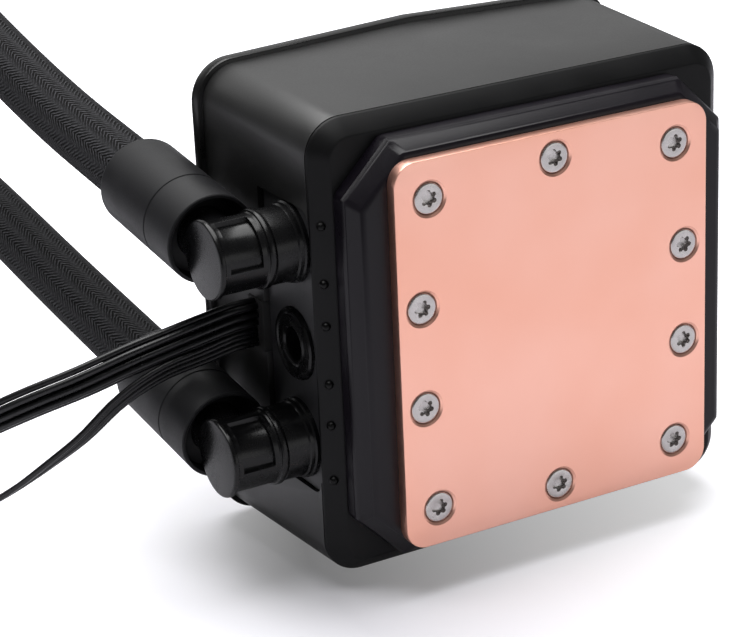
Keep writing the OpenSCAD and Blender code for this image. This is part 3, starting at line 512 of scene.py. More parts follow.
class Finishes:
    """Every material of the cooler."""

    def __init__(self) -> None:
        """Builds them all."""
        # Moulded ABS with a fine spark-eroded grain: deep grey-black, broad soft highlights
        self.shroud = Finish("abs_grained_black", "#191919", 0.40, 0.3, 0.010, 14, "#1c1c1c").build()
        # The rear cover is moulded black and glossier than the shroud
        self.cover = Finish("abs_cover_black", "#0a0a0a", 0.3, 0.3, 0.004, 14, "#0c0c0c", ior=1.35).build()
        # The step is from a finer mould: black, with a violet tinge painted into its colour for the
        # reflection of the room
        self.step = Finish("abs_black_violet_reflection", "#0d0a10", 0.34, 0.3, 0.004, 12, "#100c13", ior=1.33).build()
        # The port panel's face is matt, and its black is painted a lighter grey for the light that it catches
        # from the side
        self.panel = Finish("abs_black_painted_lit_grey", "#212123", 0.5, 0.3, 0.006, 10, "#252527").build()
        # The flange comes from the same mould, but with a matt face that takes little light
        self.flange = Finish("abs_matt_black", "#0a0a0b", 0.42, 0.3, 0.006, 10, "#0d0d0e", ior=1.25).build()
        # Small domes of the same mould, polished dark
        self.pip = Finish("abs_pip_black", "#040404", 0.35, ior=1.25).build()
        # Moulded acetal, as swivel fittings are made of: near black with tight highlights
        self.elbow = Finish("acetal_black", "#080809", 0.26, 0.25, 0.002, 6, "#0a0a0b", ior=1.33).build()
        # Moulded nylon collar: dark neutral grey, satin
        self.collar = Finish("nylon_dark_grey", "#111113", 0.5, 0.3, 0.004, 8, "#141416", ior=1.33).build()
        # Bare lapped copper
        self.copper = BrushedCopper("copper_lapped", "#f6b7a1", 0.34, depth=0.0015, cloud=25,
                                    cloud_colour="#fac0ad", metallic=1.0).build()
        # Nickel plated screw steel
        self.steel = Finish("steel_plated", "#b4b0ae", 0.24, 0.2, 0.003, 2, "#c0bcba", 1.0).build()
        # Braided nylon sleeve over rubber hose
        self.braid = BraidedSleeve("nylon_braid_black", "#010101", 0.6, depth=0.5, ior=1.2).build()
        # Soft PVC insulation: black with a narrow sheen along each wire
        self.wire = Finish("pvc_insulation_black", "#0b0b0d", 0.3, 0.5, 0.004, 5, "#101012", ior=1.4).build()
        # Nitrile rubber: matt black
        self.rubber = Finish("nitrile_rubber", "#131313", 0.7, 0.3, 0.006, 5, "#171717").build()
        # Nylon plug housings
        self.plug = Finish("nylon_black_matt", "#151516", 0.5, 0.3, 0.008, 6, "#1a1a1b").build()
        # Baked paint on the radiator's aluminium
        self.paint = Finish("baked_paint_black", "#141415", 0.38, 0.5, 0.010, 20, "#18181a").build()
        # Thin paint on the folded fins
        self.fins = Finish("thin_paint_black", "#1c1c1d", 0.45, 0.4, 0.006, 10, "#232324",
                           metallic=0.3).build()
        # Parts inside the block
        self.natural = Finish("acetal_natural", "#c8c7c2", 0.45, 0.3, 0.004).build()
        self.can = Finish("pps_grey", "#77777a", 0.5, 0.3, 0.006).build()
        self.ferrite = Finish("ferrite_sintered", "#2b2b2d", 0.6, 0.2, 0.012).build()
        self.ceramic = Finish("alumina_ceramic", "#e4e2dc", 0.25, 0.1, 0.001).build()
        self.iron = Finish("lamination_iron", "#5a5a5d", 0.4, 0.3, 0.01, metallic=1.0).build()
        self.winding = Finish("enamelled_wire", "#9a5a30", 0.3, 0.25, 0.05, metallic=0.8).build()
        self.board = Finish("lacquered_laminate", "#1d4a2a", 0.3, 0.3, 0.004).build()
        self.sheet = Finish("stainless_sheet", "#a9a9ac", 0.3, 0.2, 0.003, metallic=1.0).build()


# Camera, light and floor


@dataclass
class Studio:
    """The photograph's camera, large soft lamps above, in front and behind, and a white floor."""

    place: Point = (-207.5, -316.4, 151.4)
    target: Point = (-33.30, 0.0, 8.298)
    roll: float = -2.535
    lens: float = 124.24
    shift: tuple[float, float] = (0.00606, 0.00435)
    floor: float = -40.6
    # Painted light: how much glow the paper adds to what the camera sees of it: by the block, right of it and
    # far off
    paper: tuple[float, float, float] = (0.12, 0.6, 0.9)

    def camera(self) -> None:
        """Makes the camera."""
        data = bpy.data.cameras.new("camera")
        data.sensor_width = 36
        data.sensor_fit = "HORIZONTAL"
        data.lens = self.lens
        data.shift_x, data.shift_y = self.shift
        data.clip_start = 0.01
        ahead = (mm(*self.target) - mm(*self.place)).normalized()
        right = ahead.cross(Vector((0, 0, 1))).normalized()
        up = right.cross(ahead)
        lean = math.radians(self.roll)
        side = math.cos(lean) * right + math.sin(lean) * up
        top = -math.sin(lean) * right + math.cos(lean) * up
        turn = Matrix((side, top, -ahead)).transposed().to_4x4()
        camera = bpy.data.objects.new("camera", data)
        camera.matrix_world = Matrix.Translation(mm(*self.place)) @ turn
        bpy.context.scene.collection.objects.link(camera)
        bpy.context.scene.camera = camera

    def lamp(self, name: str, place: Point, size: tuple[float, float], watts: float,
             aim: Point = (0, 0, 0)) -> None:
        """Adds a soft rectangular lamp.

        Args:
            name: its name.
            place: where it hangs, in millimetres.
            size: its width and height in millimetres.
            watts: its power.
            aim: the point that it faces.
        """
        data = bpy.data.lights.new(name, "AREA")
        data.shape = "RECTANGLE"
        data.size, data.size_y = size[0] * MM, size[1] * MM
        data.energy = watts
        lamp = bpy.data.objects.new(name, data)
        lamp.location = mm(*place)
        lamp.rotation_euler = (mm(*aim) - mm(*place)).to_track_quat("-Z", "Y").to_euler()
        bpy.context.scene.collection.objects.link(lamp)

    def build(self) -> None:
        """Makes world, lamps and floor."""
        scene = bpy.context.scene
        scene.view_settings.view_transform = "Standard"
        world = bpy.data.worlds.new("white")
        world.use_nodes = True
        scene.world = world
        tree = world.node_tree
        tree.nodes.clear()
        rays = add(tree, "ShaderNodeLightPath").outputs
        dim = add(tree, "ShaderNodeBackground", {"Color": linear("#ffffff"), "Strength": 0.15}).outputs[0]
        white = add(tree, "ShaderNodeBackground", {"Color": linear("#ffffff"), "Strength": 1.0}).outputs[0]
        mix = add(tree, "ShaderNodeMixShader", {0: rays["Is Camera Ray"], 1: dim, 2: white})
        add(tree, "ShaderNodeOutputWorld", {0: mix.outputs[0]})
        self.lamp("key", (-60, 180, 900), (1000, 1000), 19)
        self.lamp("front", (480, -900, 60), (900, 500), 1.55)
        self.lamp("rear", (250, 900, 420), (1500, 500), 1.6)
        self.ground()

    def ground(self) -> None:
        """Makes the floor, white to the camera but for the shadows on it, with a painted glow that lifts it
        to white away from the block.
        """
        deselect()
        bpy.ops.mesh.primitive_plane_add(size=8, location=(0, 0, (self.floor - 0.05) * MM))
        floor = settle(bpy.context.object, "floor")
        material = bpy.data.materials.new("white_paper")
        material.use_nodes = True
        tree = material.node_tree
        tree.nodes.clear()
        rays = add(tree, "ShaderNodeLightPath").outputs
        paper = add(tree, "ShaderNodeBsdfDiffuse", {"Color": linear("#cbcad0")}).outputs[0]
        # Painted light: the paper glows for the camera, least by the block, so it shows the block's shadow to
        # its left, less of it to its right, and none further off
        place = add(tree, "ShaderNodeTexCoord").outputs["Object"]
        away = add(tree, "ShaderNodeVectorMath", {0: place}, operation="LENGTH").outputs["Value"]
        right = add(tree, "ShaderNodeSeparateXYZ", {0: place}).outputs["X"]
        near, beside, far = self.paper
        painted_glow = sum_up(tree, "MAXIMUM", spread(tree, away, 55 * MM, 115 * MM, near, far),
                      spread(tree, right, -40 * MM, 30 * MM, near, beside))
        seen = sum_up(tree, "MULTIPLY", rays["Is Camera Ray"], painted_glow)
        mirrored = sum_up(tree, "MULTIPLY", rays["Is Glossy Ray"], 0.05)
        glow_shader = add(tree, "ShaderNodeEmission", {"Strength": sum_up(tree, "ADD", seen, mirrored)}).outputs[0]
        bright = add(tree, "ShaderNodeAddShader", {0: paper, 1: glow_shader}).outputs[0]
        add(tree, "ShaderNodeOutputMaterial", {0: bright})
        floor.data.materials.append(material)


# Cords


def smooth_route(points: Sequence[Point], step: float) -> list[Vector]:
    """Runs a smooth curve through points.

    Args:
        points: the route's points in millimetres.
        step: distance between two points of the result, in millimetres.

    Returns:
        Points in millimetres, evenly spaced.
    """
    known = [Vector(p) for p in points]
    known = [2 * known[0] - known[1]] + known + [2 * known[-1] - known[-2]]
    dense: list[Vector] = []
    for a, b, c, d in zip(known, known[1:], known[2:], known[3:]):
        knots = [0.0]
        for p, q in ((a, b), (b, c), (c, d)):
            knots.append(knots[-1] + max((q - p).length, 1e-6) ** 0.5)
        t0, t1, t2, t3 = knots
        for k in range(24):
            t = t1 + (t2 - t1) * k / 24
            p1 = a * ((t1 - t) / (t1 - t0)) + b * ((t - t0) / (t1 - t0))
            p2 = b * ((t2 - t) / (t2 - t1)) + c * ((t - t1) / (t2 - t1))
            p3 = c * ((t3 - t) / (t3 - t2)) + d * ((t - t2) / (t3 - t2))
            q1 = p1 * ((t2 - t) / (t2 - t0)) + p2 * ((t - t0) / (t2 - t0))
            q2 = p2 * ((t3 - t) / (t3 - t1)) + p3 * ((t - t1) / (t3 - t1))
            dense.append(q1 * ((t2 - t) / (t2 - t1)) + q2 * ((t - t1) / (t2 - t1)))
    dense.append(known[-2])
    total = sum((b - a).length for a, b in zip(dense, dense[1:]))
    count = max(2, round(total / step))
    even, gone, want = [dense[0]], 0.0, total / count
    for a, b in zip(dense, dense[1:]):
        part = (b - a).length
        while gone + part >= want * len(even) and len(even) < count:
            even.append(a.lerp(b, (want * len(even) - gone) / part))
        gone += part
    return even + [dense[-1]]


def route_frames(route: Sequence[Vector]) -> list[tuple[Vector, Vector, Vector]]:
    """Returns point, side and up vectors along a route, turned as little as can be."""
    frames, side = [], None
    for k, point in enumerate(route):
        ahead = (route[min(k + 1, len(route) - 1)] - route[max(k - 1, 0)]).normalized()
        if side is None:
            side = ahead.cross(Vector((0, 0, 1))).normalized()
        side = (side - ahead * side.dot(ahead)).normalized()
        frames.append((point, side, side.cross(ahead)))
    return frames


def sweep(name: str, route: Sequence[Vector], radius: float, sides: int, columns: float = 1,
          pitch: float = 1.0) -> bpy.types.Object:
    """Sweeps a circle along a route, with a UV map for woven patterns.

    Args:
        name: the piece's name.
        route: evenly spaced points in millimetres.
        radius: the circle's radius.
        sides: points of the circle.
        columns: the U value of a full turn.
        pitch: length along the route of one unit of V.

    Returns:
        The new object.
    """
    form = bmesh.new()
    layer = form.loops.layers.uv.new("UVMap")
    rings, run, lengths = [], 0.0, []
    for k, (point, side, up) in enumerate(route_frames(route)):
        run += (route[k] - route[k - 1]).length if k else 0.0
        lengths.append(run)
        ring = []
        for n in range(sides):
            turn = n / sides * FULL_TURN
            ring.append(form.verts.new((point + (side * math.cos(turn) + up * math.sin(turn)) * radius) * MM))
        rings.append(ring)
    for k in range(len(rings) - 1):
        for n in range(sides):
            m = (n + 1) % sides
            face = form.faces.new((rings[k][n], rings[k + 1][n], rings[k + 1][m], rings[k][m]))
            face.smooth = True
            corners = ((n, k), (n, k + 1), (n + 1, k + 1), (n + 1, k))
            for loop, (u, v) in zip(face.loops, corners):
                loop[layer].uv = (u / sides * columns, lengths[v] / pitch)
    form.faces.new(rings[0])
    form.faces.new(list(reversed(rings[-1])))
    bmesh.ops.recalc_face_normals(form, faces=form.faces)
    mesh = bpy.data.meshes.new(name)
    form.to_mesh(mesh)
    form.free()
    piece = bpy.data.objects.new(name, mesh)
    bpy.context.scene.collection.objects.link(piece)
    return piece


def route_length(route: Sequence[Vector]) -> float:
    """Returns a route's length in metres."""
    return sum((b - a).length for a, b in zip(route, route[1:])) * MM


@dataclass
class Hose:
    """A braided hose from an elbow's collar to the radiator's."""

    name: str
    body: Body
    port_z: float
    run: Sequence[Point]
    far_z: float
    far_x: float = -32
    far_y: tuple[float, float] = (262.9, 277.4)
    radius: float = 5.6
    neck_end: float = 19.9
    collar_end: float = 31.7
    columns: int = 20
    thread: float = 1.1

    def along_neck(self, s: float) -> Point:
        """Returns a point on the neck's axis at a distance from the swivel's axis."""
        lean = math.radians(TILT)
        return (HOSE_X, PORT_Y + s * math.cos(lean), self.port_z + s * math.sin(lean))

    def build(self, finish: bpy.types.Material) -> bpy.types.Object:
        """Makes the hose."""
        points = [self.along_neck(self.neck_end + 0.3), self.along_neck(self.collar_end + 3), *self.run,
                  *((self.far_x, y, self.far_z) for y in self.far_y)]
        route = smooth_route(points, 0.8)
        piece = sweep(self.name, route, self.radius - 0.15, 64, self.columns, self.thread)
        piece.data.materials.append(finish)
        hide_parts(self.name.replace("_braid", ""))
        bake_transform(piece)
        LOG.info("%s: %.0f mm long", self.name, route_length(route) / MM)
        return piece


@dataclass
class Lead:
    """A lead of separate insulated wires that lie side by side."""

    name: str
    node: str
    plug: str
    start: Point
    run: Sequence[Point]
    wire: float
    layers: Sequence[Point]
    width: float
    twist: float
    gathered: float = 180

    def spacing(self, run: float, wire: int) -> float:
        """Returns how far apart the wires lie at a length of the lead: closer at both its ends."""
        if run < self.gathered:
            share = 0.95 + 0.05 * min(run / 40, 1.0)
        else:
            share = 1 - 0.3 * min((run - self.gathered) / 60, 1.0)
        return share * (1 + 0.05 * math.sin(run / (17 + 3 * wire) + 2.1 * wire))

    def build(self, finish: bpy.types.Material) -> bpy.types.Object:
        """Makes the wires, joined into one piece."""
        route = smooth_route([self.start, *self.run], 2.0)
        frames = route_frames(route)
        wires = []
        for k, (across, above) in enumerate(self.layers):
            path, run = [], 0.0
            for n, (point, side, up) in enumerate(frames):
                run += (route[n] - route[n - 1]).length if n else 0.0
                turn = math.radians(self.twist) * run
                x = across * math.cos(turn) - above * math.sin(turn)
                y = across * math.sin(turn) + above * math.cos(turn)
                path.append(point + (side * x + up * y) * self.spacing(run, k))
            wires.append(sweep(f"{self.name}_{k}", path, self.wire / 2, 12))
        piece = join(self.name, wires)
        return hand_over(piece, Body.COOLER, "lead_sheath", finish, self.node)


UPPER_RUN = [(-47.7, 78, 23.6), (-47.5, 104, 27.6), (-46, 135, 32.5), (-43, 165, 37.5), (-39, 195, 42.5),
             (-35, 222, 46), (-32.6, 243, 47.4)]
LOWER_RUN = [(-47.7, 86, -8.2), (-47.5, 112, -5.2), (-46, 140, -3.8), (-43, 168, -4), (-39, 196, -5.5),
             (-35, 222, -7.6), (-32.6, 243, -8.6)]
POWER_RUN = [(-42, 28.6, 1.6), (-47.5, 29.3, 0.5), (-53.5, 30.2, -0.9), (-59, 31.4, -2.4), (-66.6, 34, -5.3),
             (-73.6, 38, -8.4), (-78, 41.5, -11), (-81.6, 46, -14.1), (-84.5, 53, -18.9), (-88, 61, -25),
             (-92.5, 71, -32), (-99, 83, -37.2), (-108, 96, -38.3), (-120, 109, -38.3), (-133, 123, -38.3),
             (-145, 139, -38.3), (-153, 158, -38.3), (-157, 180, -38.3), (-158, 204, -38.3),
             (-158, 228, -38.3), (-158, 252, -38.3)]
SPEED_RUN = [(-42, 28.6, -2.3), (-47.5, 29.3, -3.6), (-53.8, 30.2, -5), (-58.2, 31, -6.9), (-62, 32, -9.4),
             (-67.1, 34.6, -14.8), (-71.8, 38, -19.4), (-74.9, 41.5, -23.1), (-77.8, 46, -26.9),
             (-80, 52, -31), (-82.6, 60, -35.5), (-86, 70, -38.4), (-90, 82, -39), (-95, 96, -39),
             (-102, 112, -39), (-111, 127, -39), (-120, 143, -39), (-127, 161, -39), (-131, 182, -39),
             (-133, 206, -39), (-134, 230, -39), (-134, 254, -39)]


@dataclass
class Cords:
    """The two hoses and the two leads."""

    hoses: list[Hose] = field(default_factory=lambda: [
        Hose("upper_hose_braid", Body.UPPER, UPPER_Z, UPPER_RUN, 47.4),
        Hose("lower_hose_braid", Body.LOWER, LOWER_Z, LOWER_RUN, -8.6),
    ])
    leads: list[Lead] = field(default_factory=lambda: [
        Lead("power_wires", "power_lead", "power_plug", (-38.4, 28.6, 1.6), POWER_RUN, 1.15,
             [(0.5, 2.2), (-0.45, 1.5), (0.45, 0.75), (-0.5, 0), (0.5, -0.75), (-0.4, -1.5), (0.4, -2.2)],
             4.2, 0.1),
        Lead("speed_wires", "speed_lead", "speed_plug", (-38.4, 28.6, -2.3), SPEED_RUN, 0.95,
             [(0, 1.2), (0.1, 0.4), (-0.1, -0.4), (0, -1.2)], 2.8, 1.1),
    ])

    def build(self, finishes: Finishes) -> None:
        """Makes them all."""
        for hose in self.hoses:
            hose.build(finishes.braid)
        for lead in self.leads:
            lead.build(finishes.wire)


# Cold plate and its screws


@dataclass
class ColdPlate:
    """Copper plate with countersunk screws and fine fins behind."""

    width: float = 57.0
    height: float = 63.4
    thick: float = 2.2
    corner: float = 3.6
    screw: float = 2.5
    sink: float = 0.15
    fin_field: float = 26.0
    fin_pitch: float = 1.3
    fin_height: float = 3.0
    fin_thick: float = 0.5

    def places(self) -> list[tuple[float, float]]:
        """Returns the X and Z of the ten screws."""
        signs = [(a, b) for a in (-1, 1) for b in (-1, 1)]
        x, z = self.width / 2, self.height / 2
        return ([(a * (x - 6), b * (z - 6.2)) for a, b in signs]
                + [(a * (x - 4.2), b * 8.2) for a, b in signs] + [(0, b * (z - 4.2)) for b in (-1, 1)])

    def plate(self) -> bpy.types.Object:
        """Makes the plate."""
        x, z = self.width / 2, self.height / 2
        piece = block("copper_plate", (-x, 0, -z), (x, self.thick, z))
        bevel(piece, lambda a, b: abs(a.y - b.y) > 1, self.corner, 12)
        bevel(piece, lambda a, b: a.y < 0.01 and b.y < 0.01, 0.14, 3)
        bevel(piece, lambda a, b: a.y > self.thick - 0.01 and b.y > self.thick - 0.01, 0.12, 2)
        for k, (px, pz) in enumerate(self.places()):
            turn = Matrix.Translation(mm(px, 0, pz)) @ Matrix.Rotation(-math.pi / 2, 4, "X")
            profile = [(0, -0.5), (3.02, -0.5), (3.02, 0.0), (2.64, 0.3), (2.64, 0.44), (1.45, 1.75),
                       (1.45, 3.0), (0, 3.0)]
            carve(piece, lathe(f"sink_{k}", profile, turn, 48))
        count = math.floor(self.fin_field / self.fin_pitch)
        first = -(count - 1) * self.fin_pitch / 2
        half = self.fin_field / 2
        fins = [block(f"fin_{k}", (first + k * self.fin_pitch - self.fin_thick / 2, self.thick - 0.1, -half),
                      (first + k * self.fin_pitch + self.fin_thick / 2, self.thick + self.fin_height, half))
                for k in range(count)]
        smooth(piece, 30)
        return join("copper_plate", [piece, *fins])

    def screw_head(self) -> bpy.types.Object:
        """Makes one screw at the plate's centre: flat head, rounded rim and six-lobe recess."""
        turn = Matrix.Rotation(-math.pi / 2, 4, "X")
        r, top = self.screw, self.sink
        profile = [(0, top), (r - 0.45, top), (r - 0.2, top + 0.04), (r - 0.06, top + 0.14), (r, top + 0.27),
                   (r - 0.12, top + 0.35), (r / 2, 1.75), (r / 2, 9.0), (0.9, 9.3), (0, 9.3)]
        piece = lathe("screw", profile, turn, 48)
        star = rod("lobe_core", (0, -0.5, 0), (0, 1.25, 0), 1.0, 36)
        for k in range(6):
            angle = math.radians(60 * k + 12)
            x, z = 1.02 * math.cos(angle), 1.02 * math.sin(angle)
            carve(star, rod(f"lobe_{k}", (x, -0.6, z), (x, 1.2, z), 0.38, 16), how="UNION")
        carve(piece, star)
        soften(piece, 0.06, 50)
        return smooth(piece, 40)

    def build(self, finishes: Finishes) -> None:
        """Makes plate and screws."""
        hand_over(self.plate(), Body.COOLER, "copper", finishes.copper, "cold_plate")
        pattern = self.screw_head()
        for k, (x, z) in enumerate(self.places()):
            spin = Matrix.Rotation(math.radians(37 * k), 4, "Y")
            screw = copy_of(pattern, f"plate_screw_{k + 1}", Matrix.Translation(mm(x, 0, z)) @ spin)
            hand_over(screw, Body.COOLER, "screw_steel", finishes.steel, "plate_screws")
        bpy.data.objects.remove(pattern)


# Block


def facing_left(x: float, z: float) -> Matrix:
    """Returns the place of a lathed piece that stands on the port side, at the ports' depth."""
    return Matrix.Translation(mm(x, PORT_Y, z)) @ Matrix.Rotation(-math.pi / 2, 4, "Y")


@dataclass
class Block:
    """Moulded base, shroud and rear cap."""

    half: float = 37.6
    corner: float = 6.0
    seam: float = 10.8
    panel_x: float = -37.2
    panel_half: float = 23.5
    panel_rear: float = 26.1
    panel_r: float = 2.2
    pip_places: tuple[float, ...] = (4.8, 11.7, 21.0)
    rear: float = 43.0
    growth: float = 0.9
    peak: float = 1.2
    lip: float = 0.9
    cap: float = 3.4

    def step(self) -> bpy.types.Object:
        """Makes the raised step that carries the plate."""
        x, z = 34.7, 34.4
        piece = block("base_step", (-x, 5.0, -z), (x, 7.8, z))
        bevel(piece, lambda a, b: abs(a.y - b.y) > 1, 8, 1)
        draw_out(piece, lambda c, n: n.y < -0.9, (0, -2.8, 0), ((x - 2) / x, 1, (z - 2) / z))
        bevel(piece, lambda a, b: abs(a.y - b.y) < 0.1 and a.y < 6, 0.7, 4)
        bevel(piece, lambda a, b: abs(a.y - b.y) > 0.5, 0.8, 3)
        return smooth(piece, 30)

    def flange(self) -> bpy.types.Object:
        """Makes the flange round the step, with its bevelled front."""
        h = self.half
        piece = block("base_flange", (-h, 7.6, -h), (h, self.seam - 0.12, h))
        bevel(piece, lambda a, b: abs(a.y - b.y) > 1, self.corner, 14)
        bevel(piece, lambda a, b: a.y < 7.7 and b.y < 7.7, 2.6, 1)
        soften(piece, 0.35, 25, 3)
        return smooth(piece, 30)

    def outline(self, name: str, x0: float, x1: float, grow: float) -> bpy.types.Object:
        """Makes the port panel's slab, rounded at its two front corners and grown by a margin."""
        top = self.panel_half + grow
        piece = block(name, (x0, self.seam, -top), (x1, self.panel_rear + grow, top))
        bevel(piece, lambda a, b: abs(a.x - b.x) > 1 and a.y < self.seam + 0.01, self.panel_r, 10)
        return piece

    def panel(self) -> bpy.types.Object:
        """Makes the port panel with the fill hole and the bosses' bores."""
        x, y = self.panel_x, PORT_Y
        piece = self.outline("port_panel", x, x + 19, 0)
        bevel(piece, lambda a, b: a.x < x + 0.01 and b.x < x + 0.01, 0.3, 3)
        carve(piece, rod("fill_hole", (x - 1, y, 0), (x + 2, y, 0), 5.95, 64))
        for z in (UPPER_Z, LOWER_Z):
            carve(piece, rod("bore", (x - 1, y, z), (x + 13, y, z), 4.55, 48))
        return smooth(piece, 30)

    def boss(self, name: str, z: float) -> bpy.types.Object:
        """Makes one port boss with two ridges at its foot."""
        place = facing_left(self.panel_x, z)
        profile = [(4.55, -1.0), (4.55, 5.3), (4.75, 5.5), (5.8, 5.5), (6.0, 5.3), (6.0, 1.75),
                   (6.12, 1.6), (6.25, 1.5), (6.25, 0.9), (6.35, 0.8), (6.5, 0.65), (6.5, -1.0), (4.55, -1.0)]
        return smooth(lathe(name, profile, place, 72), 30)

    def pips(self) -> bpy.types.Object:
        """Makes the six domed pips on the flange's bevel."""
        domes = []
        middle = (UPPER_Z + LOWER_Z) / 2
        for z in self.pip_places:
            for side in (-1, 1):
                deselect()
                bpy.ops.mesh.primitive_uv_sphere_add(
                    segments=24, ring_count=12, radius=0.75 * MM,
                    location=mm(-self.half + 1.3, 8.9, middle + side * z))
                domes.append(settle(bpy.context.object, "pip"))
        piece = join("flange_pips", domes)
        return smooth(piece, 60)

    def shell(self, name: str, half_front: float, half_rear: float, front: float, rear: float,
              corner: float, peak: float) -> bpy.types.Object:
        """Makes a solid with rounded corners that grows towards the rear, with peaked edges there."""
        piece = block(name, (-half_front, front, -half_front), (half_front, rear, half_front))
        choose(piece)
        enter_edit("VERT")
        bpy.ops.mesh.select_all(action="SELECT")
        bpy.ops.mesh.bisect(plane_co=(0, 0, 0), plane_no=(1, 0, 0))
        bpy.ops.object.mode_set(mode="OBJECT")
        for vertex in piece.data.vertices:
            if vertex.co.y > (front + rear) / 2 * MM:
                grow = half_rear / half_front
                vertex.co.x *= grow
                vertex.co.z *= grow
                if abs(vertex.co.x) < 0.1 * MM:
                    vertex.co.z += math.copysign(peak * MM, vertex.co.z)
        bevel(piece, lambda a, b: abs(a.y - b.y) > 1 and abs(a.x) > 10, corner, 14)
        return piece

    def shroud(self) -> bpy.types.Object:
        """Makes the shroud."""
        rear_half = self.half + self.growth
        piece = self.shell("shroud_shell", self.half, rear_half, self.seam, self.rear, self.corner, self.peak)
        drop_faces(piece, lambda c, n: n.y < -0.9)
        modify(piece, "SOLIDIFY", thickness=2.0 * MM, offset=-1.0, use_even_offset=True)
        carve(piece, self.outline("cutter", -45, -30, 0.1))
        carve(piece, block("cutter", (-45, 20, -4.3), (-30, 31.1, 4.3)))
        soften(piece, 0.4, 40, 3)
        return smooth(piece, 30)

    def rear_cover(self) -> bpy.types.Object:
        """Makes the rear cap."""
        half = self.half + self.growth + self.lip
        piece = self.shell("rear_cover", half, half, self.rear, self.rear + self.cap,
                           self.corner + self.lip, 0)
        for vertex in piece.data.vertices:
            if abs(vertex.co.x) < 0.1 * MM:
                vertex.co.z += math.copysign(self.peak * MM, vertex.co.z)
        back = self.rear + 3

        def rim(a: Vector, b: Vector) -> bool:
            """Picks the outer edges of the rear face, not the line down its middle."""
            flat = a.y > back and b.y > back and abs(a.x - b.x) + abs(a.z - b.z) > 0.01
            return flat and not (abs(a.x) < 0.1 and abs(b.x) < 0.1)

        bevel(piece, rim, 1.6, 5)
        soften(piece, 0.3, 40, 2)
        return smooth(piece, 30)

    def plug(self) -> bpy.types.Object:
        """Makes the fill plug: a ring just proud of the panel, with a sunk key hole."""
        place = facing_left(self.panel_x, 0)
        profile = [(0, -3.9), (2.5, -3.9), (2.7, -3.7), (2.7, 0.45), (2.95, 0.75), (3.3, 0.8), (3.6, 0.62),
                   (4.85, 0.6), (5.1, 0.78), (5.55, 0.8), (5.85, 0.5), (5.85, -1.1), (4.3, -1.15),
                   (4.3, -9.8), (4.0, -10.0), (0, -10.0)]
        return smooth(lathe("plug_ring", profile, place, 64), 30)

    def build(self, finishes: Finishes) -> None:
        """Makes the block."""
        hand_over(self.step(), Body.COOLER, "base_plastic", finishes.step, "pump_base")
        hand_over(self.flange(), Body.COOLER, "base_plastic", finishes.flange)
        hand_over(self.panel(), Body.COOLER, "base_plastic", finishes.panel)
        for name, z in (("upper_boss", UPPER_Z), ("lower_boss", LOWER_Z)):
            hand_over(self.boss(name, z), Body.COOLER, "base_plastic", finishes.elbow)
        hand_over(self.pips(), Body.COOLER, "base_plastic", finishes.pip)
        hand_over(self.shroud(), Body.COOLER, "shroud_plastic", finishes.shroud, "shroud")
        hand_over(self.rear_cover(), Body.COOLER, "shroud_plastic", finishes.cover, "rear_cap")
        hand_over(self.plug(), Body.COOLER, "elbow_plastic", finishes.elbow, "fill_plug")


# Elbows


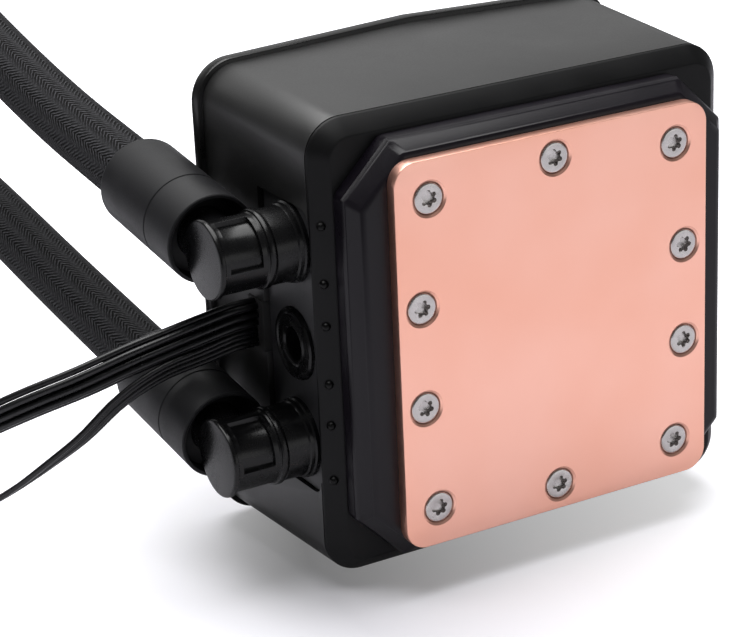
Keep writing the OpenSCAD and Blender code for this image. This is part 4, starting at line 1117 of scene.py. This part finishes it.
@dataclass
class Fitting:
    """A swivel elbow with its collar."""

    side: str
    body: Body
    z: float
    ring_start: float = -43.9
    drum_end: float = -52.2
    drum_r: float = 6.3
    spigot_r: float = 4.5
    collar_start: float = 6.2
    collar_length: float = 25.5

    def along_hose(self, start: float = 0) -> Matrix:
        """Returns the place of a lathed piece on the neck's line, from a distance along it."""
        lean = Matrix.Rotation(math.radians(TILT - 90), 4, "X")
        return Matrix.Translation(mm(HOSE_X, PORT_Y, self.z)) @ lean @ Matrix.Translation(mm(0, 0, start))

    def elbow(self) -> bpy.types.Object:
        """Makes the elbow: spigot, ring, waisted drum with end cap, and neck."""
        place = facing_left(0, self.z)
        end, ring = -self.drum_end, -self.ring_start
        thin, r = self.spigot_r, self.drum_r
        profile = [(0, 24.8), (thin - 0.2, 24.8), (thin, 25.0), (thin, ring - 1.1), (r - 0.2, ring - 1.1),
                   (r - 0.05, ring - 1.0), (r, ring - 0.85), (r, ring - 0.35), (r - 0.1, ring - 0.15),
                   (r - 0.35, ring - 0.05), (r - 0.5, ring + 0.2), (r - 0.5, end - 1.0),
                   (r - 0.2, end - 0.92), (r, end - 0.75), (r, end - 0.3), (r - 0.1, end - 0.1),
                   (r - 0.3, end - 0.02), (r - 0.5, end), (0, end)]
        piece = lathe(f"{self.side}_elbow_body", profile, place, 80)
        neck = lathe("neck", [(0, 0), (4.3, 0), (4.3, 19.3), (3.9, 19.9), (0, 19.9)], self.along_hose(), 48)
        carve(piece, neck, how="UNION")
        carve(piece, self.waist())
        soften(piece, 0.16, 40, 2)
        return smooth(piece, 30)

    def waist(self) -> bpy.types.Object:
        """Makes the cutter for the pocket in the drum's front, above a rib."""
        place = facing_left(0, self.z)
        end, ring = -self.drum_end, -self.ring_start
        low, high = ring + 1.0, end - 1.8
        profile = [(5.0, low), (7.0, low), (7.0, high), (5.0, high), (5.0, low)]
        cutter = lathe("waist", profile, place, 80)
        keep = block("keep", (-60, -14, -0.3), (-40, 0, 12))
        keep.data.transform(Matrix.Translation(mm(0, PORT_Y, self.z)) @
                            Matrix.Rotation(math.radians(TILT), 4, "X"))
        carve(cutter, keep, how="INTERSECT")
        return cutter

    def collar(self) -> bpy.types.Object:
        """Makes the collar."""
        length = self.collar_length
        turns = [math.radians(15 * k) for k in range(7)]
        shoulder = [(6.0 + 1.4 * math.cos(t), length - 1.4 + 1.4 * math.sin(t)) for t in turns]
        profile = [(4.35, 3.0), (6.65, 3.0), (6.75, 2.9), (6.75, 0.1), (6.85, 0.0), (7.25, 0.0), (7.4, 0.15),
                   (7.4, 8.3), (7.25, 8.42), (7.25, 8.67), (7.4, 8.8), *shoulder, (5.85, length),
                   (5.75, length - 0.4), (5.75, length - 11.0), (4.35, length - 11.5), (4.35, 3.0)]
        return smooth(lathe(f"{self.side}_collar_body", profile, self.along_hose(self.collar_start), 80), 30)

    def build(self, finishes: Finishes) -> None:
        """Makes the fitting."""
        hand_over(self.elbow(), self.body, "elbow_plastic", finishes.elbow, f"{self.side}_elbow")
        hand_over(self.collar(), self.body, "collar_plastic", finishes.collar, f"{self.side}_collar")


def dress_nodes(finishes: Finishes) -> None:
    """Gives each CAD node that stays its finish."""
    looks = {
        finishes.steel: ["shroud_screws", "pump_shaft", "bleed_screw"],
        finishes.rubber: ["plate_gasket", "can_seal", "fill_plug_seal", "upper_elbow_seal",
                          "lower_elbow_seal", "lead_grommet"],
        finishes.collar: ["radiator_collars"], finishes.elbow: ["elbow_clips"],
        finishes.plug: ["power_plug", "speed_plug"],
        finishes.paint: ["port_tank", "plain_tank", "water_tubes", "radiator_rails", "radiator_ports"],
        finishes.fins: ["folded_fins"], finishes.natural: ["impeller"], finishes.can: ["rotor_can"],
        finishes.ferrite: ["rotor_magnet"], finishes.ceramic: ["shaft_bearings"],
        finishes.iron: ["stator_core"], finishes.winding: ["stator_coils"],
        finishes.board: ["controller_board"], finishes.sheet: ["jet_plate"],
    }
    for material, names in looks.items():
        for name in names:
            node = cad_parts[name]
            node.data.materials.clear()
            node.data.materials.append(material)


def main() -> None:
    """Builds the scene in order."""
    logging.basicConfig(level=logging.INFO, format="%(name)s: %(message)s")
    studio = Studio()
    studio.camera()
    finishes = Finishes()
    Cords().build(finishes)
    studio.build()
    ColdPlate().build(finishes)
    Block().build(finishes)
    Fitting("upper", Body.UPPER, UPPER_Z).build(finishes)
    Fitting("lower", Body.LOWER, LOWER_Z).build(finishes)
    dress_nodes(finishes)


if __name__ == "__main__":
    main()
